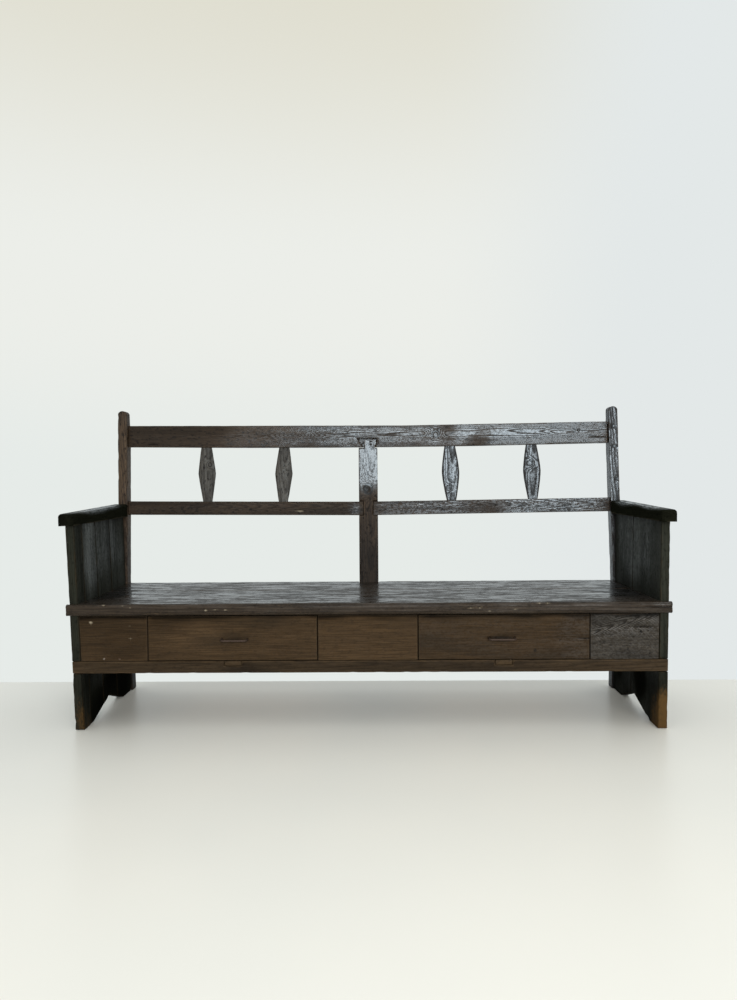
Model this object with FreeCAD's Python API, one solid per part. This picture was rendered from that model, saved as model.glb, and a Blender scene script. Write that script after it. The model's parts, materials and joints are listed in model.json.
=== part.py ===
import FreeCAD, Part
import math
import os

from FreeCAD import Vector

# A long rustic settle bench with an open back, plank ends and two drawers under the seat.
# Sizes are in millimetres. X runs across the bench, Y from the front edges of the end boards
# towards the back, and Z up from the floor.

# End boards
left_end_at_floor = 970.0
right_end_at_floor = 975.5
splay_left = 1.8
splay_right = 0.7
end_thickness = 30.0
end_board_gap = 0.6
left_end_joints = (60.0, 174.0, 304.0)
right_end_joints = (257.0,)
toe_length = 77.0
foot_arch_apex = 229.0
foot_arch_height = 50.0
heel_start = 363.0
toe_radius = 6.0
apex_radius = 30.0

# End posts
post_front = 449.0
post_width = 36.0
post_depth = 40.0
post_knee_depth = 48.0
post_top_depth = 34.0
post_lean_left = -0.2
post_lean_right = 0.9
post_height = 1098.0
post_dome = 13.0
post_board_gap = 3.0
heel_radius = 10.0
rake_angle = 2.7

# Arms
arm_underside = 678.0
arm_rear_underside = 683.0
arm_top = 718.0
arm_rear_top = 733.0
arm_width = 51.0
arm_rear_width = 60.0
arm_outer_overhang = 14.5
arm_front_overhang = 28.0
arm_groove_depth = 8.0
arm_edge_radius = 12.0
arm_corner_radius = 16.0
arm_tenon_wall = 4.0
arm_tenon_width = 14.0
arm_tenon_height = 20.0

# Seat
seat_height = 420.0
seat_thickness = 40.0
seat_overhang = 14.0
seat_ear = 6.0
seat_joint = 272.0
seat_board_gap = 0.8
seat_back_edge = 486.0
nosing_radius = 13.0

# Box under the seat
rail_bottom = 189.0
rail_height = 40.0
front_thickness = 24.0
case_back_thickness = 20.0
centre_panel_width = 328.0
drawer_opening_width = 561.0
partition_thickness = 20.0
bearer_width = 55.0
bearer_height = 16.0
runner_width = 22.0
runner_height = 20.0
cleat_size = 25.0

# Drawers
front_gap = 1.5
side_gap = 2.5
running_gap = 0.5
back_gap = 4.0
drawer_board = 12.0
drawer_bottom_board = 10.0
front_lip = 12.0
side_drop = 20.0

# Pulls
pull_span = 90.0
pull_rod = 6.5
pull_reach = 20.0
pull_bend = 9.0
pull_seat = 14.0
pull_drop = 4.5
pull_shift = 6.5
pull_hole_gap = 0.1

# Back frame
rail_setback = 12.0
back_rail_thickness = 24.0
top_rail_bottom = 957.0
top_rail_height = 85.0
mid_rail_bottom = 690.0
mid_rail_height = 54.0
rail_sag = 9.0
tenon_length = 20.0
tenon_shoulder = 10.0
tenon_thickness = 12.0

# Centre post and its joints
centre_post_x = -2.0
centre_post_width = 75.0
centre_post_thickness = 30.0
centre_shoulder_drop = 5.0
shoulder_chamfer = 5.0
lap_depth = 12.0
waist_width = 38.0
notch_headroom = 3.0
pocket_left_foot = 21.0
pocket_left_top = 42.0
pocket_right_foot = 28.0
pocket_right_top = 35.0
pocket_height = 34.0
tail_left = 16.0
tail_headroom = 3.0

# Splats
splat_heads = (-641.0, -332.0, 319.0, 638.0)
splat_feet = (-636.0, -338.0, 325.0, 643.0)
splat_shoulder_gap = 0.5
splat_thickness = 14.0
splat_top_width = 40.0
splat_middle_width = 65.0
splat_foot_width = 34.0
splat_widest_height = 850.0
splat_tenon_length = 14.0
splat_tenon_shoulder = 4.0
splat_tenon_thickness = 8.0

# Clearance in every glued or nailed joint
joint_gap = 0.2

# Values that follow from the sizes above
left, right = -1, 1
end_at_floor = {left: left_end_at_floor, right: right_end_at_floor}
splay = {left: math.tan(math.radians(splay_left)), right: math.tan(math.radians(splay_right))}
lean = {
    left: math.tan(math.radians(post_lean_left)),
    right: math.tan(math.radians(post_lean_right)),
}
rake = math.tan(math.radians(rake_angle))
end_back = post_front - post_board_gap
end_back_top = end_back + rake * (arm_underside + arm_groove_depth - seat_height)
end_top = arm_underside + arm_groove_depth
seat_underside = seat_height - seat_thickness
rail_top = rail_bottom + rail_height
back_plane = post_front + rail_setback
case_back_front = back_plane - case_back_thickness
top_rail_top = top_rail_bottom + top_rail_height
mid_rail_top = mid_rail_bottom + mid_rail_height
top_rail_low_point = top_rail_bottom - rail_sag
mid_rail_low_point = mid_rail_bottom - rail_sag
tenon_setback = rail_setback + (back_rail_thickness - tenon_thickness) / 2
arm_tenon_length = tenon_setback - arm_tenon_wall
drawer_centre = centre_panel_width / 2 + drawer_opening_width / 2
half_front = drawer_opening_width / 2 - front_gap
half_box = drawer_opening_width / 2 - side_gap
half_inside = half_box - drawer_board
front_low = rail_top + front_gap
front_high = seat_underside - front_gap
wall_top = front_high - side_drop
drawer_low = rail_top + running_gap
drawer_floor = drawer_low + drawer_bottom_board
drawer_back = case_back_front - back_gap
pull_height = (front_low + front_high) / 2 - pull_drop
pull_leg = (pull_span - pull_rod) / 2

# How far a cutting block passes through a face, and a distance beyond the whole bench
overrun = 1.0
far_away = 3 * right_end_at_floor


def outer_face(side, z):
    """Distance of the outer face of an end from the middle of the bench at a height."""
    return end_at_floor[side] + splay[side] * z


def inner_face(side, z):
    """Distance of the inner face of the end boards from the middle at a height."""
    return outer_face(side, z) - end_thickness


def post_outer_face(side, z):
    """Distance of the outer face of an end post: flush with its end up to the seat."""
    return outer_face(side, min(z, seat_height)) - lean[side] * max(0, z - seat_height)


def post_inner_face(side, z):
    """Distance of the inner face of an end post from the middle at a height."""
    return post_outer_face(side, z) - post_width


def shy_of(face):
    """A face drawn back from its neighbour by the clearance of a joint."""
    return lambda side, z: face(side, z) - joint_gap


def box(x0, x1, y0, y1, z0, z1):
    """A plain block between two corners."""
    return Part.makeBox(x1 - x0, y1 - y0, z1 - z0, Vector(x0, y0, z0))


def along_y(outline, y0, y1):
    """A block whose front outline is a list of (x, z) corners."""
    points = [Vector(x, y0, z) for x, z in outline]
    face = Part.Face(Part.makePolygon(points + points[:1]))
    return face.extrude(Vector(0, y1 - y0, 0))


def along_x(outline, x0, x1):
    """A block whose side outline is a list of (y, z) corners."""
    points = [Vector(x0, y, z) for y, z in outline]
    face = Part.Face(Part.makePolygon(points + points[:1]))
    return face.extrude(Vector(x1 - x0, 0, 0))


def on_side(side, shape):
    """The shape itself on the right, or its mirror image on the left."""
    if side == right:
        return shape
    return shape.mirror(Vector(0, 0, 0), Vector(1, 0, 0))


def moved_across(shape, distance):
    """A copy of a shape moved along X."""
    copy = shape.copy()
    copy.translate(Vector(distance, 0, 0))
    return copy


def leaned_back(shape):
    """Tilts a piece of the back frame about the line where it leaves the seat."""
    tilted = shape.copy()
    tilted.rotate(Vector(0, back_plane, seat_height), Vector(1, 0, 0), -rake_angle)
    return tilted


def round_edges(shape, radius, wanted):
    """Rounds the edges whose middle point passes the test."""
    edges = []
    for edge in shape.Edges:
        middle = edge.valueAt((edge.FirstParameter + edge.LastParameter) / 2)
        if wanted(middle):
            edges.append(edge)
    return shape.makeFillet(radius, edges)


def near(a, b):
    """True where two measures are the same to within a tenth of a millimetre."""
    return abs(a - b) < 0.1


def splayed_slab(side, inner, outer, y0, y1, z0, z1):
    """An upright slab, drawn on the right, whose two faces lean with an end."""
    outline = [(inner(side, z0), z0), (outer(side, z0), z0),
               (outer(side, z1), z1), (inner(side, z1), z1)]
    return along_y(outline, y0, y1)


def spanning_board(face, y0, y1, z0, z1):
    """A board across the bench whose two ends follow the leaning faces."""
    outline = [(-face(left, z0), z0), (face(right, z0), z0),
               (face(right, z1), z1), (-face(left, z1), z1)]
    return along_y(outline, y0, y1)


def hung(level, x):
    """The height of a back rail's edge across the bench, from its height at the ends."""
    return level - rail_sag * (1 - (x / right_end_at_floor) ** 2)


def sagging_board(low_ends, high_ends, low, high):
    """A back rail's board, as thick as the rail, whose long edges sag alike."""
    edges = []
    for level, (start, stop) in ((low, low_ends), (high, high_ends[::-1])):
        places = (start, (start + stop) / 2, stop)
        edges.append([Vector(x, back_plane, hung(level, x)) for x in places])
    lower, upper = edges
    outline = Part.Wire([
        Part.Arc(*lower).toShape(),
        Part.LineSegment(lower[-1], upper[0]).toShape(),
        Part.Arc(*upper).toShape(),
        Part.LineSegment(upper[-1], lower[0]).toShape(),
    ])
    return Part.Face(outline).extrude(Vector(0, back_rail_thickness, 0))


def post_profile(front, depth, z0, z1):
    """Side outline of a post that is plumb below the seat and raked above it."""
    run = rake * (z1 - seat_height)
    return [
        (front, z0),
        (front, seat_height),
        (front + run, z1),
        (front + depth + run, z1),
        (front + depth, seat_height),
        (front + depth, z0),
    ]


def end_post_profile():
    """Side outline of an end post, deepest at the top rail's underside."""
    knee = rake * (top_rail_bottom - seat_height)
    run = rake * (post_height - seat_height)
    return [
        (post_front, 0),
        (post_front, seat_height),
        (post_front + run, post_height),
        (post_front + post_top_depth + run, post_height),
        (post_front + post_knee_depth + knee, top_rail_bottom),
        (post_front + post_depth, seat_height),
        (post_front + post_depth, 0),
    ]


def end_silhouette():
    """Side outline of a whole plank end with its arched foot, as one block."""
    outline = [
        (0, 0),
        (toe_length, 0),
        (foot_arch_apex, foot_arch_height),
        (heel_start, 0),
        (end_back, 0),
        (end_back, seat_height),
        (end_back_top, end_top),
        (0, end_top),
    ]
    block = along_x(outline, 0, far_away)
    block = round_edges(block, toe_radius, lambda p: near(p.y, 0) and near(p.z, 0))
    return round_edges(block, apex_radius,
                       lambda p: near(p.y, foot_arch_apex) and near(p.z, foot_arch_height))


def end_boards(side, joints):
    """The upright boards of one end, each from one joint to the next."""
    whole = splayed_slab(side, inner_face, outer_face, 0, end_back_top, 0, end_top)
    whole = whole.common(end_silhouette())
    whole = whole.cut(box(0, far_away, 0, front_thickness, rail_bottom, rail_top))
    starts = (0.0,) + joints
    stops = joints + (end_back_top + end_board_gap,)
    boards = []
    for start, stop in zip(starts, stops):
        strip = box(0, far_away, start, stop - end_board_gap, 0, end_top)
        boards.append(on_side(side, whole.common(strip)))
    return boards


def end_post_blank(side):
    """An end post, drawn on the right, before its mortises are cut."""
    shoulder = post_height - post_dome
    middle = post_outer_face(side, post_height) - post_width / 2
    corners = [Vector(post_inner_face(side, z), 0, z) for z in (shoulder, seat_height, 0)]
    corners += [Vector(post_outer_face(side, z), 0, z) for z in (0, seat_height, shoulder)]
    sides = Part.makePolygon(corners)
    dome = Part.Arc(corners[-1], Vector(middle, 0, post_height), corners[0]).toShape()
    face = Part.Face(Part.Wire(sides.Edges + [dome]))
    front_shape = face.extrude(Vector(0, far_away, 0))
    side_shape = along_x(end_post_profile(), 0, far_away)
    side_shape = round_edges(side_shape, heel_radius,
                             lambda p: near(p.y, post_front + post_depth) and near(p.z, 0))
    return side_shape.common(front_shape)


def rail_tenon(side, z0, z1, gap):
    """The tenon of a back rail in a post, drawn on the right and grown by a gap."""
    y0 = post_front + tenon_setback
    low, high = post_inner_face(side, z0), post_inner_face(side, z1)
    outline = [
        (low - tenon_length, z0 + tenon_shoulder - gap),
        (low + tenon_length + gap, z0 + tenon_shoulder - gap),
        (high + tenon_length + gap, z1 - tenon_shoulder + gap),
        (high - tenon_length, z1 - tenon_shoulder + gap),
    ]
    return along_y(outline, y0 - gap, y0 + tenon_thickness + gap)


def arm_tenon(side, gap):
    """The tenon of an arm in its post, drawn on the right and grown by a gap."""
    middle_z = (arm_rear_underside + arm_rear_top) / 2
    middle_x = post_outer_face(side, middle_z) - post_width / 2
    face_y = post_front + rake * (middle_z - seat_height)
    return box(middle_x - arm_tenon_width / 2 - gap, middle_x + arm_tenon_width / 2 + gap,
               face_y - arm_tenon_length, face_y + arm_tenon_length + gap,
               middle_z - arm_tenon_height / 2 - gap, middle_z + arm_tenon_height / 2 + gap)


def end_post(side):
    """An end post with mortises for both back rails and the arm."""
    post = end_post_blank(side)
    post = post.cut(leaned_back(rail_tenon(side, top_rail_bottom, top_rail_top, joint_gap)))
    post = post.cut(leaned_back(rail_tenon(side, mid_rail_bottom, mid_rail_top, joint_gap)))
    post = post.cut(arm_tenon(side, joint_gap))
    return on_side(side, post)


def arm(side):
    """A heavy arm, rounded in front, growing to the back and grooved below over the boards."""
    x1 = outer_face(side, arm_underside) + arm_outer_overhang
    front = -arm_front_overhang
    back = post_front + rake * (arm_rear_top - seat_height) + post_depth / 4
    side_outline = [(front, arm_underside), (back, arm_rear_underside),
                    (back, arm_rear_top), (front, arm_top)]
    plan = [Vector(x1, front, 0), Vector(x1, back, 0), Vector(x1 - arm_rear_width, back, 0),
            Vector(x1 - arm_width, front, 0)]
    plan_block = Part.Face(Part.makePolygon(plan + plan[:1])).extrude(Vector(0, 0, far_away))
    body = along_x(side_outline, 0, far_away).common(plan_block)
    body = round_edges(body, arm_corner_radius,
                       lambda p: near(p.y, front) and near(p.z, (arm_underside + arm_top) / 2))
    body = round_edges(body, arm_edge_radius,
                       lambda p: p.z > arm_top - overrun and p.y < back - overrun)
    post_space = along_x(post_profile(post_front, post_depth, 0, post_height), 0, far_away)
    body = body.cut(post_space).fuse(arm_tenon(side, 0))
    groove = splayed_slab(side, shy_of(inner_face), lambda s, z: outer_face(s, z) + joint_gap,
                          -joint_gap, end_back_top + joint_gap, 0, end_top + joint_gap)
    return on_side(side, body.cut(groove).removeSplitter())


def seat_board_front():
    """The front seat board with a rounded nosing and ears in front of the end boards."""
    board = spanning_board(shy_of(inner_face), -joint_gap, seat_joint,
                           seat_underside, seat_height)
    nosing = box(-outer_face(left, seat_height) - seat_ear, outer_face(right, seat_height) + seat_ear,
                 -seat_overhang, -joint_gap, seat_underside, seat_height)
    board = board.fuse(nosing).removeSplitter()
    return round_edges(board, nosing_radius, lambda p: near(p.y, -seat_overhang)
                       and (near(p.z, seat_height) or near(p.z, seat_underside)))


def seat_board_rear():
    """The rear seat board, notched round the end posts and the centre post."""
    start = seat_joint + seat_board_gap
    middle = post_front - post_board_gap / 2
    ahead = spanning_board(shy_of(inner_face), start, middle, seat_underside, seat_height)
    behind = spanning_board(shy_of(post_inner_face), middle, seat_back_edge,
                            seat_underside, seat_height)
    half = centre_post_width / 2 + joint_gap
    notch = box(centre_post_x - half, centre_post_x + half, back_plane - joint_gap,
                seat_back_edge + overrun, seat_underside - overrun, seat_height + overrun)
    return ahead.fuse(behind).removeSplitter().cut(notch)


def bearer(side):
    """The flat board under the middle of a drawer, lapped into both bottom rails."""
    middle = side * drawer_centre
    return box(middle - bearer_width / 2, middle + bearer_width / 2, 0, back_plane,
               rail_top - bearer_height, rail_top)


def front_rail():
    """The bottom rail let into the front edges of the ends and flush with them."""
    rail = spanning_board(outer_face, 0, front_thickness, rail_bottom, rail_top)
    return rail.cut(bearer(left)).cut(bearer(right))


def behind_the_front(z0, z1):
    """A board across the back of the box, stepped round the end posts."""
    middle = post_front - post_board_gap / 2
    ahead = spanning_board(shy_of(inner_face), case_back_front, middle, z0, z1)
    behind = spanning_board(shy_of(post_inner_face), middle, back_plane, z0, z1)
    return ahead.fuse(behind).removeSplitter()


def rear_rail():
    """The bottom rail at the back of the box."""
    return behind_the_front(rail_bottom, rail_top).cut(bearer(left)).cut(bearer(right))


def fixed_panels():
    """The three fixed boards of the front beside and between the drawers."""
    half = centre_panel_width / 2
    centre = box(-half, half, 0, front_thickness, rail_top, seat_underside)
    edge = half + drawer_opening_width
    panels = {"panel_centre": centre}
    for side, name in ((left, "left"), (right, "right")):
        panel = splayed_slab(side, lambda s, z: edge, shy_of(inner_face),
                             0, front_thickness, rail_top, seat_underside)
        panels["panel_" + name] = on_side(side, panel)
    return panels


def partition_faces():
    """The X of each drawer opening's two sides, inner then outer, on the right."""
    inner = centre_panel_width / 2
    return inner, inner + drawer_opening_width


def partitions_and_runners():
    """The upright boards beside the drawers and the strips that the drawers run on."""
    inner, outer = partition_faces()
    walls = {
        "inner": (inner - partition_thickness, inner, inner, inner + runner_width),
        "outer": (outer, outer + partition_thickness, outer - runner_width, outer),
    }
    pieces = {}
    for side, side_name in ((left, "left"), (right, "right")):
        for place, (x0, x1, r0, r1) in walls.items():
            wall = box(x0, x1, front_thickness, case_back_front, rail_bottom, seat_underside)
            strip = box(r0, r1, front_thickness, case_back_front,
                        rail_top - runner_height, rail_top)
            pieces["partition_%s_%s" % (side_name, place)] = on_side(side, wall)
            pieces["runner_%s_%s" % (side_name, place)] = on_side(side, strip)
    return pieces


def cleat(side, z0):
    """A square strip along the inner face of an end that ties its boards together."""
    strip = splayed_slab(side, lambda s, z: inner_face(s, z) - cleat_size, shy_of(inner_face),
                         front_thickness, case_back_front, z0, z0 + cleat_size)
    return on_side(side, strip)


def drawer_pull(centre):
    """A bent iron rod with its two legs driven into the drawer front."""
    turn = pull_bend * (1 - math.sqrt(0.5))
    tip = -pull_reach
    near_leg = centre - pull_leg
    far_leg = centre + pull_leg
    places = [
        (near_leg, pull_seat),
        (near_leg, tip + pull_bend),
        (near_leg + turn, tip + turn),
        (near_leg + pull_bend, tip),
        (far_leg - pull_bend, tip),
        (far_leg - turn, tip + turn),
        (far_leg, tip + pull_bend),
        (far_leg, pull_seat),
    ]
    points = [Vector(x, y, pull_height) for x, y in places]
    path = Part.Wire([
        Part.LineSegment(points[0], points[1]).toShape(),
        Part.Arc(points[1], points[2], points[3]).toShape(),
        Part.LineSegment(points[3], points[4]).toShape(),
        Part.Arc(points[4], points[5], points[6]).toShape(),
        Part.LineSegment(points[6], points[7]).toShape(),
    ])
    section = Part.Wire([Part.makeCircle(pull_rod / 2, points[0], Vector(0, 1, 0))])
    return path.makePipeShell([section], True, False)


def drawer_front(centre, pull_centre):
    """A thick drawer front, rebated behind for the sides and bottom, with the pull's holes."""
    behind = front_thickness + overrun
    front = box(centre - half_front, centre + half_front, 0, front_thickness,
                front_low, front_high)
    end_rebate = box(half_inside, half_front + overrun, front_lip, behind,
                     front_low - overrun, wall_top)
    bottom_rebate = box(-half_front - overrun, half_front + overrun, front_lip, behind,
                        front_low - overrun, drawer_floor)
    for rebate in (end_rebate, on_side(left, end_rebate), bottom_rebate):
        front = front.cut(moved_across(rebate, centre))
    for leg in (pull_centre - pull_leg, pull_centre + pull_leg):
        hole = Part.makeCylinder(pull_rod / 2 + pull_hole_gap,
                                 pull_seat + overrun + pull_hole_gap,
                                 Vector(leg, -overrun, pull_height), Vector(0, 1, 0))
        front = front.cut(hole)
    return front


def drawer_box(centre):
    """The two sides, the back and the bottom of a drawer about its middle."""
    side = box(half_inside, half_box, front_lip, drawer_back, drawer_floor, wall_top)
    back = box(-half_inside, half_inside, drawer_back - drawer_board, drawer_back,
               drawer_floor, wall_top)
    bottom = box(-half_box, half_box, front_lip, drawer_back, drawer_low, drawer_floor)
    boards = {"side_left": on_side(left, side), "side_right": side, "back": back, "bottom": bottom}
    return {name: moved_across(board, centre) for name, board in boards.items()}


def drawer(side, side_name):
    """All the pieces of one drawer, with its pull set a little towards the middle."""
    centre = side * drawer_centre
    pull_centre = centre - side * pull_shift
    pieces = {"drawer_%s_front" % side_name: drawer_front(centre, pull_centre)}
    for name, board in drawer_box(centre).items():
        pieces["drawer_%s_%s" % (side_name, name)] = board
    pieces["pull_" + side_name] = drawer_pull(pull_centre)
    return pieces


def splat_tenon(centre, z0, z1, width, gap):
    """A splat's tenon in a rail, grown on every side by a gap."""
    middle = back_plane + back_rail_thickness / 2
    half = width / 2 - splat_tenon_shoulder + gap
    return box(centre - half, centre + half, middle - splat_tenon_thickness / 2 - gap,
               middle + splat_tenon_thickness / 2 + gap, z0 - gap, z1 + gap)


def splat(head, foot):
    """A flat splat, widest in its middle and tapering to both rails."""
    middle = back_plane + back_rail_thickness / 2
    low = hung(mid_rail_top, foot) + splat_shoulder_gap
    high = hung(top_rail_bottom, head) - splat_shoulder_gap
    waist = foot + (head - foot) * (splat_widest_height - low) / (high - low)
    outline = [
        (foot - splat_foot_width / 2, low),
        (foot + splat_foot_width / 2, low),
        (waist + splat_middle_width / 2, splat_widest_height),
        (head + splat_top_width / 2, high),
        (head - splat_top_width / 2, high),
        (waist - splat_middle_width / 2, splat_widest_height),
    ]
    blade = along_y(outline, middle - splat_thickness / 2, middle + splat_thickness / 2)
    lower_tenon = splat_tenon(foot, low - splat_tenon_length, low, splat_foot_width, 0)
    upper_tenon = splat_tenon(head, high, high + splat_tenon_length, splat_top_width, 0)
    return leaned_back(blade.fuse(lower_tenon).fuse(upper_tenon).removeSplitter())


def dovetail_pocket():
    """The sloping pocket in the front of the top rail, half the rail's height."""
    low = top_rail_low_point - overrun
    high = top_rail_low_point + pocket_height
    outline = [
        (centre_post_x - pocket_left_foot, low),
        (centre_post_x + pocket_right_foot, low),
        (centre_post_x + pocket_right_foot, top_rail_low_point),
        (centre_post_x + pocket_right_top, high),
        (centre_post_x - pocket_left_top, high),
    ]
    return along_y(outline, back_plane - overrun, back_plane + lap_depth)


def top_rail():
    """The deep top rail with a tenon at each end, splat mortises and the pocket."""
    ends = []
    for level in (top_rail_bottom, top_rail_top):
        ends.append([side * (post_inner_face(side, level) - joint_gap) for side in (left, right)])
    rail = sagging_board(ends[0], ends[1], top_rail_bottom, top_rail_top)
    for side in (left, right):
        rail = rail.fuse(on_side(side, rail_tenon(side, top_rail_bottom, top_rail_top, 0)))
    rail = rail.removeSplitter().cut(dovetail_pocket())
    for head in splat_heads:
        edge = hung(top_rail_bottom, head)
        rail = rail.cut(splat_tenon(head, edge - overrun, edge + splat_tenon_length,
                                    splat_top_width, joint_gap))
    return leaned_back(rail)


def mid_rail(side):
    """Half of the thin middle rail, tenoned in its post and lapped on the centre post."""
    shoulder = centre_post_x + side * (centre_post_width / 2 + joint_gap)
    lap_end = centre_post_x + side * (waist_width / 2 + joint_gap)
    low = mid_rail_bottom
    high = mid_rail_top
    low_ends = sorted((shoulder, side * (post_inner_face(side, low) - joint_gap)))
    high_ends = sorted((shoulder, side * (post_inner_face(side, high) - joint_gap)))
    rail = sagging_board(low_ends, high_ends, low, high)
    lap = box(min(shoulder, lap_end), max(shoulder, lap_end), back_plane,
              back_plane + lap_depth - joint_gap, mid_rail_low_point,
              mid_rail_low_point + mid_rail_height)
    rail = rail.fuse(lap).fuse(on_side(side, rail_tenon(side, low, high, 0))).removeSplitter()
    for foot in splat_feet:
        if foot * side > 0:
            edge = hung(high, foot)
            rail = rail.cut(splat_tenon(foot, edge - splat_tenon_length, edge + overrun,
                                        splat_foot_width, joint_gap))
    return leaned_back(rail)


def dovetail_tail():
    """The tongue of the centre post: straight on the left, sloping on the right."""
    slope = (pocket_right_top - pocket_right_foot) / pocket_height
    foot = top_rail_low_point - centre_shoulder_drop - shoulder_chamfer
    head = top_rail_low_point + pocket_height - tail_headroom
    right_foot = centre_post_x + pocket_right_foot - joint_gap
    outline = [
        (centre_post_x - tail_left, foot),
        (right_foot, foot),
        (right_foot, top_rail_low_point),
        (right_foot + slope * (head - top_rail_low_point), head),
        (centre_post_x - tail_left, head),
    ]
    return along_y(outline, back_plane, back_plane + lap_depth - joint_gap)


def centre_post():
    """The centre post, dovetailed into the top rail and notched for the middle rails."""
    half = centre_post_width / 2
    shoulder = top_rail_low_point - centre_shoulder_drop
    profile = post_profile(back_plane, centre_post_thickness, rail_bottom, top_rail_top)
    post = along_x(profile, centre_post_x - half, centre_post_x + half)
    post = post.cut(leaned_back(box(-far_away, far_away, 0, far_away,
                                    top_rail_low_point - joint_gap, far_away)))
    lap_back = back_plane + lap_depth
    post = post.cut(leaned_back(box(-far_away, far_away, back_plane - overrun, lap_back,
                                    shoulder, top_rail_low_point)))
    for side in (left, right):
        edge = centre_post_x + side * half
        corner = [
            (edge, shoulder - shoulder_chamfer),
            (edge + side * overrun, shoulder + overrun),
            (edge - side * shoulder_chamfer, shoulder + overrun),
            (edge - side * shoulder_chamfer, shoulder),
        ]
        post = post.cut(leaned_back(along_y(corner, back_plane - overrun, lap_back)))
        waist = centre_post_x + side * waist_width / 2
        far_edge = edge + side * overrun
        notch = box(min(waist, far_edge), max(waist, far_edge), back_plane - overrun, lap_back,
                    mid_rail_low_point - joint_gap,
                    mid_rail_low_point + mid_rail_height + notch_headroom)
        post = post.cut(leaned_back(notch))
    return post.fuse(leaned_back(dovetail_tail())).removeSplitter()


def all_pieces():
    """Every named piece of the bench, in the order in which it goes together."""
    pieces = {}
    for number, board in enumerate(end_boards(left, left_end_joints), 1):
        pieces["end_left_board_%d" % number] = board
    for number, board in enumerate(end_boards(right, right_end_joints), 1):
        pieces["end_right_board_%d" % number] = board
    for side, name in ((left, "left"), (right, "right")):
        pieces["post_" + name] = end_post(side)
        pieces["arm_" + name] = arm(side)
        pieces["seat_cleat_" + name] = cleat(side, seat_underside - cleat_size)
        pieces["lower_cleat_" + name] = cleat(side, rail_bottom)
        pieces["bearer_" + name] = bearer(side)
        pieces["mid_rail_" + name] = mid_rail(side)
    pieces["post_centre"] = centre_post()
    pieces["top_rail"] = top_rail()
    for number, (head, foot) in enumerate(zip(splat_heads, splat_feet), 1):
        pieces["splat_%d" % number] = splat(head, foot)
    pieces["front_rail"] = front_rail()
    pieces["rear_rail"] = rear_rail()
    pieces["case_back"] = behind_the_front(rail_top, seat_underside)
    pieces.update(fixed_panels())
    pieces.update(partitions_and_runners())
    pieces["seat_board_front"] = seat_board_front()
    pieces["seat_board_rear"] = seat_board_rear()
    pieces.update(drawer(left, "left"))
    pieces.update(drawer(right, "right"))
    return pieces


def footprint_middle(pieces):
    """The point on the floor in the middle of the bench's whole length and depth."""
    boxes = [shape.optimalBoundingBox() for shape in pieces.values()]
    middle_x = (min(b.XMin for b in boxes) + max(b.XMax for b in boxes)) / 2
    middle_y = (min(b.YMin for b in boxes) + max(b.YMax for b in boxes)) / 2
    return Vector(middle_x, middle_y, 0)


def main():
    """Builds every piece about the middle of its footprint and writes it out."""
    os.makedirs("parts", exist_ok=True)
    pieces = all_pieces()
    middle = footprint_middle(pieces)
    for name, shape in pieces.items():
        placed = shape.copy()
        placed.translate(-middle)
        if len(placed.Solids) != 1 or not placed.isValid():
            print("check", name, len(placed.Solids), "solids", placed.isValid())
        placed.Solids[0].exportStep("parts/%s.step" % name)
    print(len(pieces), "pieces, footprint middle at", round(middle.x, 3), round(middle.y, 3))


main()
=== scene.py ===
"""An old settle bench of dark varnished pine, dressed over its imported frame."""

import json
import logging
import math
from dataclasses import dataclass, field, replace
from enum import Enum

import bmesh
import bpy
import numpy as np
from mathutils import Matrix, Vector, noise

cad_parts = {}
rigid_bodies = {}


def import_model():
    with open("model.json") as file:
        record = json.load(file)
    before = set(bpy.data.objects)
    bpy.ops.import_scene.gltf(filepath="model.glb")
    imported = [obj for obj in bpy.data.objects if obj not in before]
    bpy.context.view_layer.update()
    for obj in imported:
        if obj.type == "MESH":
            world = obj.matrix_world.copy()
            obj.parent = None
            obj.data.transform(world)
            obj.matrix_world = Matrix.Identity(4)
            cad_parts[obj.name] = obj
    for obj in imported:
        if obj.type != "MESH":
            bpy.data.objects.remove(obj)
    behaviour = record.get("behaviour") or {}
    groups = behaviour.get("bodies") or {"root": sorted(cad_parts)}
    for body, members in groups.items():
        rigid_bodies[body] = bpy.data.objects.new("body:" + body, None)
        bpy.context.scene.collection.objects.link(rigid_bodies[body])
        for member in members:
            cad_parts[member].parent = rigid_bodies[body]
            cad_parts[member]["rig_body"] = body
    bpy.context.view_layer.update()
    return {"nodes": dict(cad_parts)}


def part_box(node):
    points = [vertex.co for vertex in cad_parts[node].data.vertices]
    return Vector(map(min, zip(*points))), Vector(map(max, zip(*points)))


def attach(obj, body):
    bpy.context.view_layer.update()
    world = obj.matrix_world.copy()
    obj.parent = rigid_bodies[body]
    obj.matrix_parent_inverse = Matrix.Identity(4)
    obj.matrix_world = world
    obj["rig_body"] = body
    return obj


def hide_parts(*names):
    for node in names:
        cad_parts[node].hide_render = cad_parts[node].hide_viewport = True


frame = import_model()

log = logging.getLogger("settle")

Colour = tuple[float, float, float, float]
Place = tuple[float, float, float] | Vector
Socket = bpy.types.NodeSocket

# Names of the values that a board's mesh keeps on its points for its finish
EDGE = "edge"
BARE = "bare"
SHEEN = "sheen"
# Tone holds stains, knots and cracks, and in some patches painted shade and painted highlight
TONE = "tone"
WORN = "worn"
# The noise that makes the borders of patches ragged, which the mesh does not keep
JITTER = "jitter"

# How far the wear of a corner edge reaches, in metres
EDGE_REACH = 0.020
# The tint of a sheen that has none
PLAIN_SHEEN = (1.0, 1.0, 1.0, 1.0)

# Where the box's front lies, and the ways that it and the raked back face
FRONT_PLANE = -0.2472
AHEAD = Vector((0.0, -1.0, 0.0))
RAKED = Vector((0.0, -1.0, 0.05))

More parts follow.
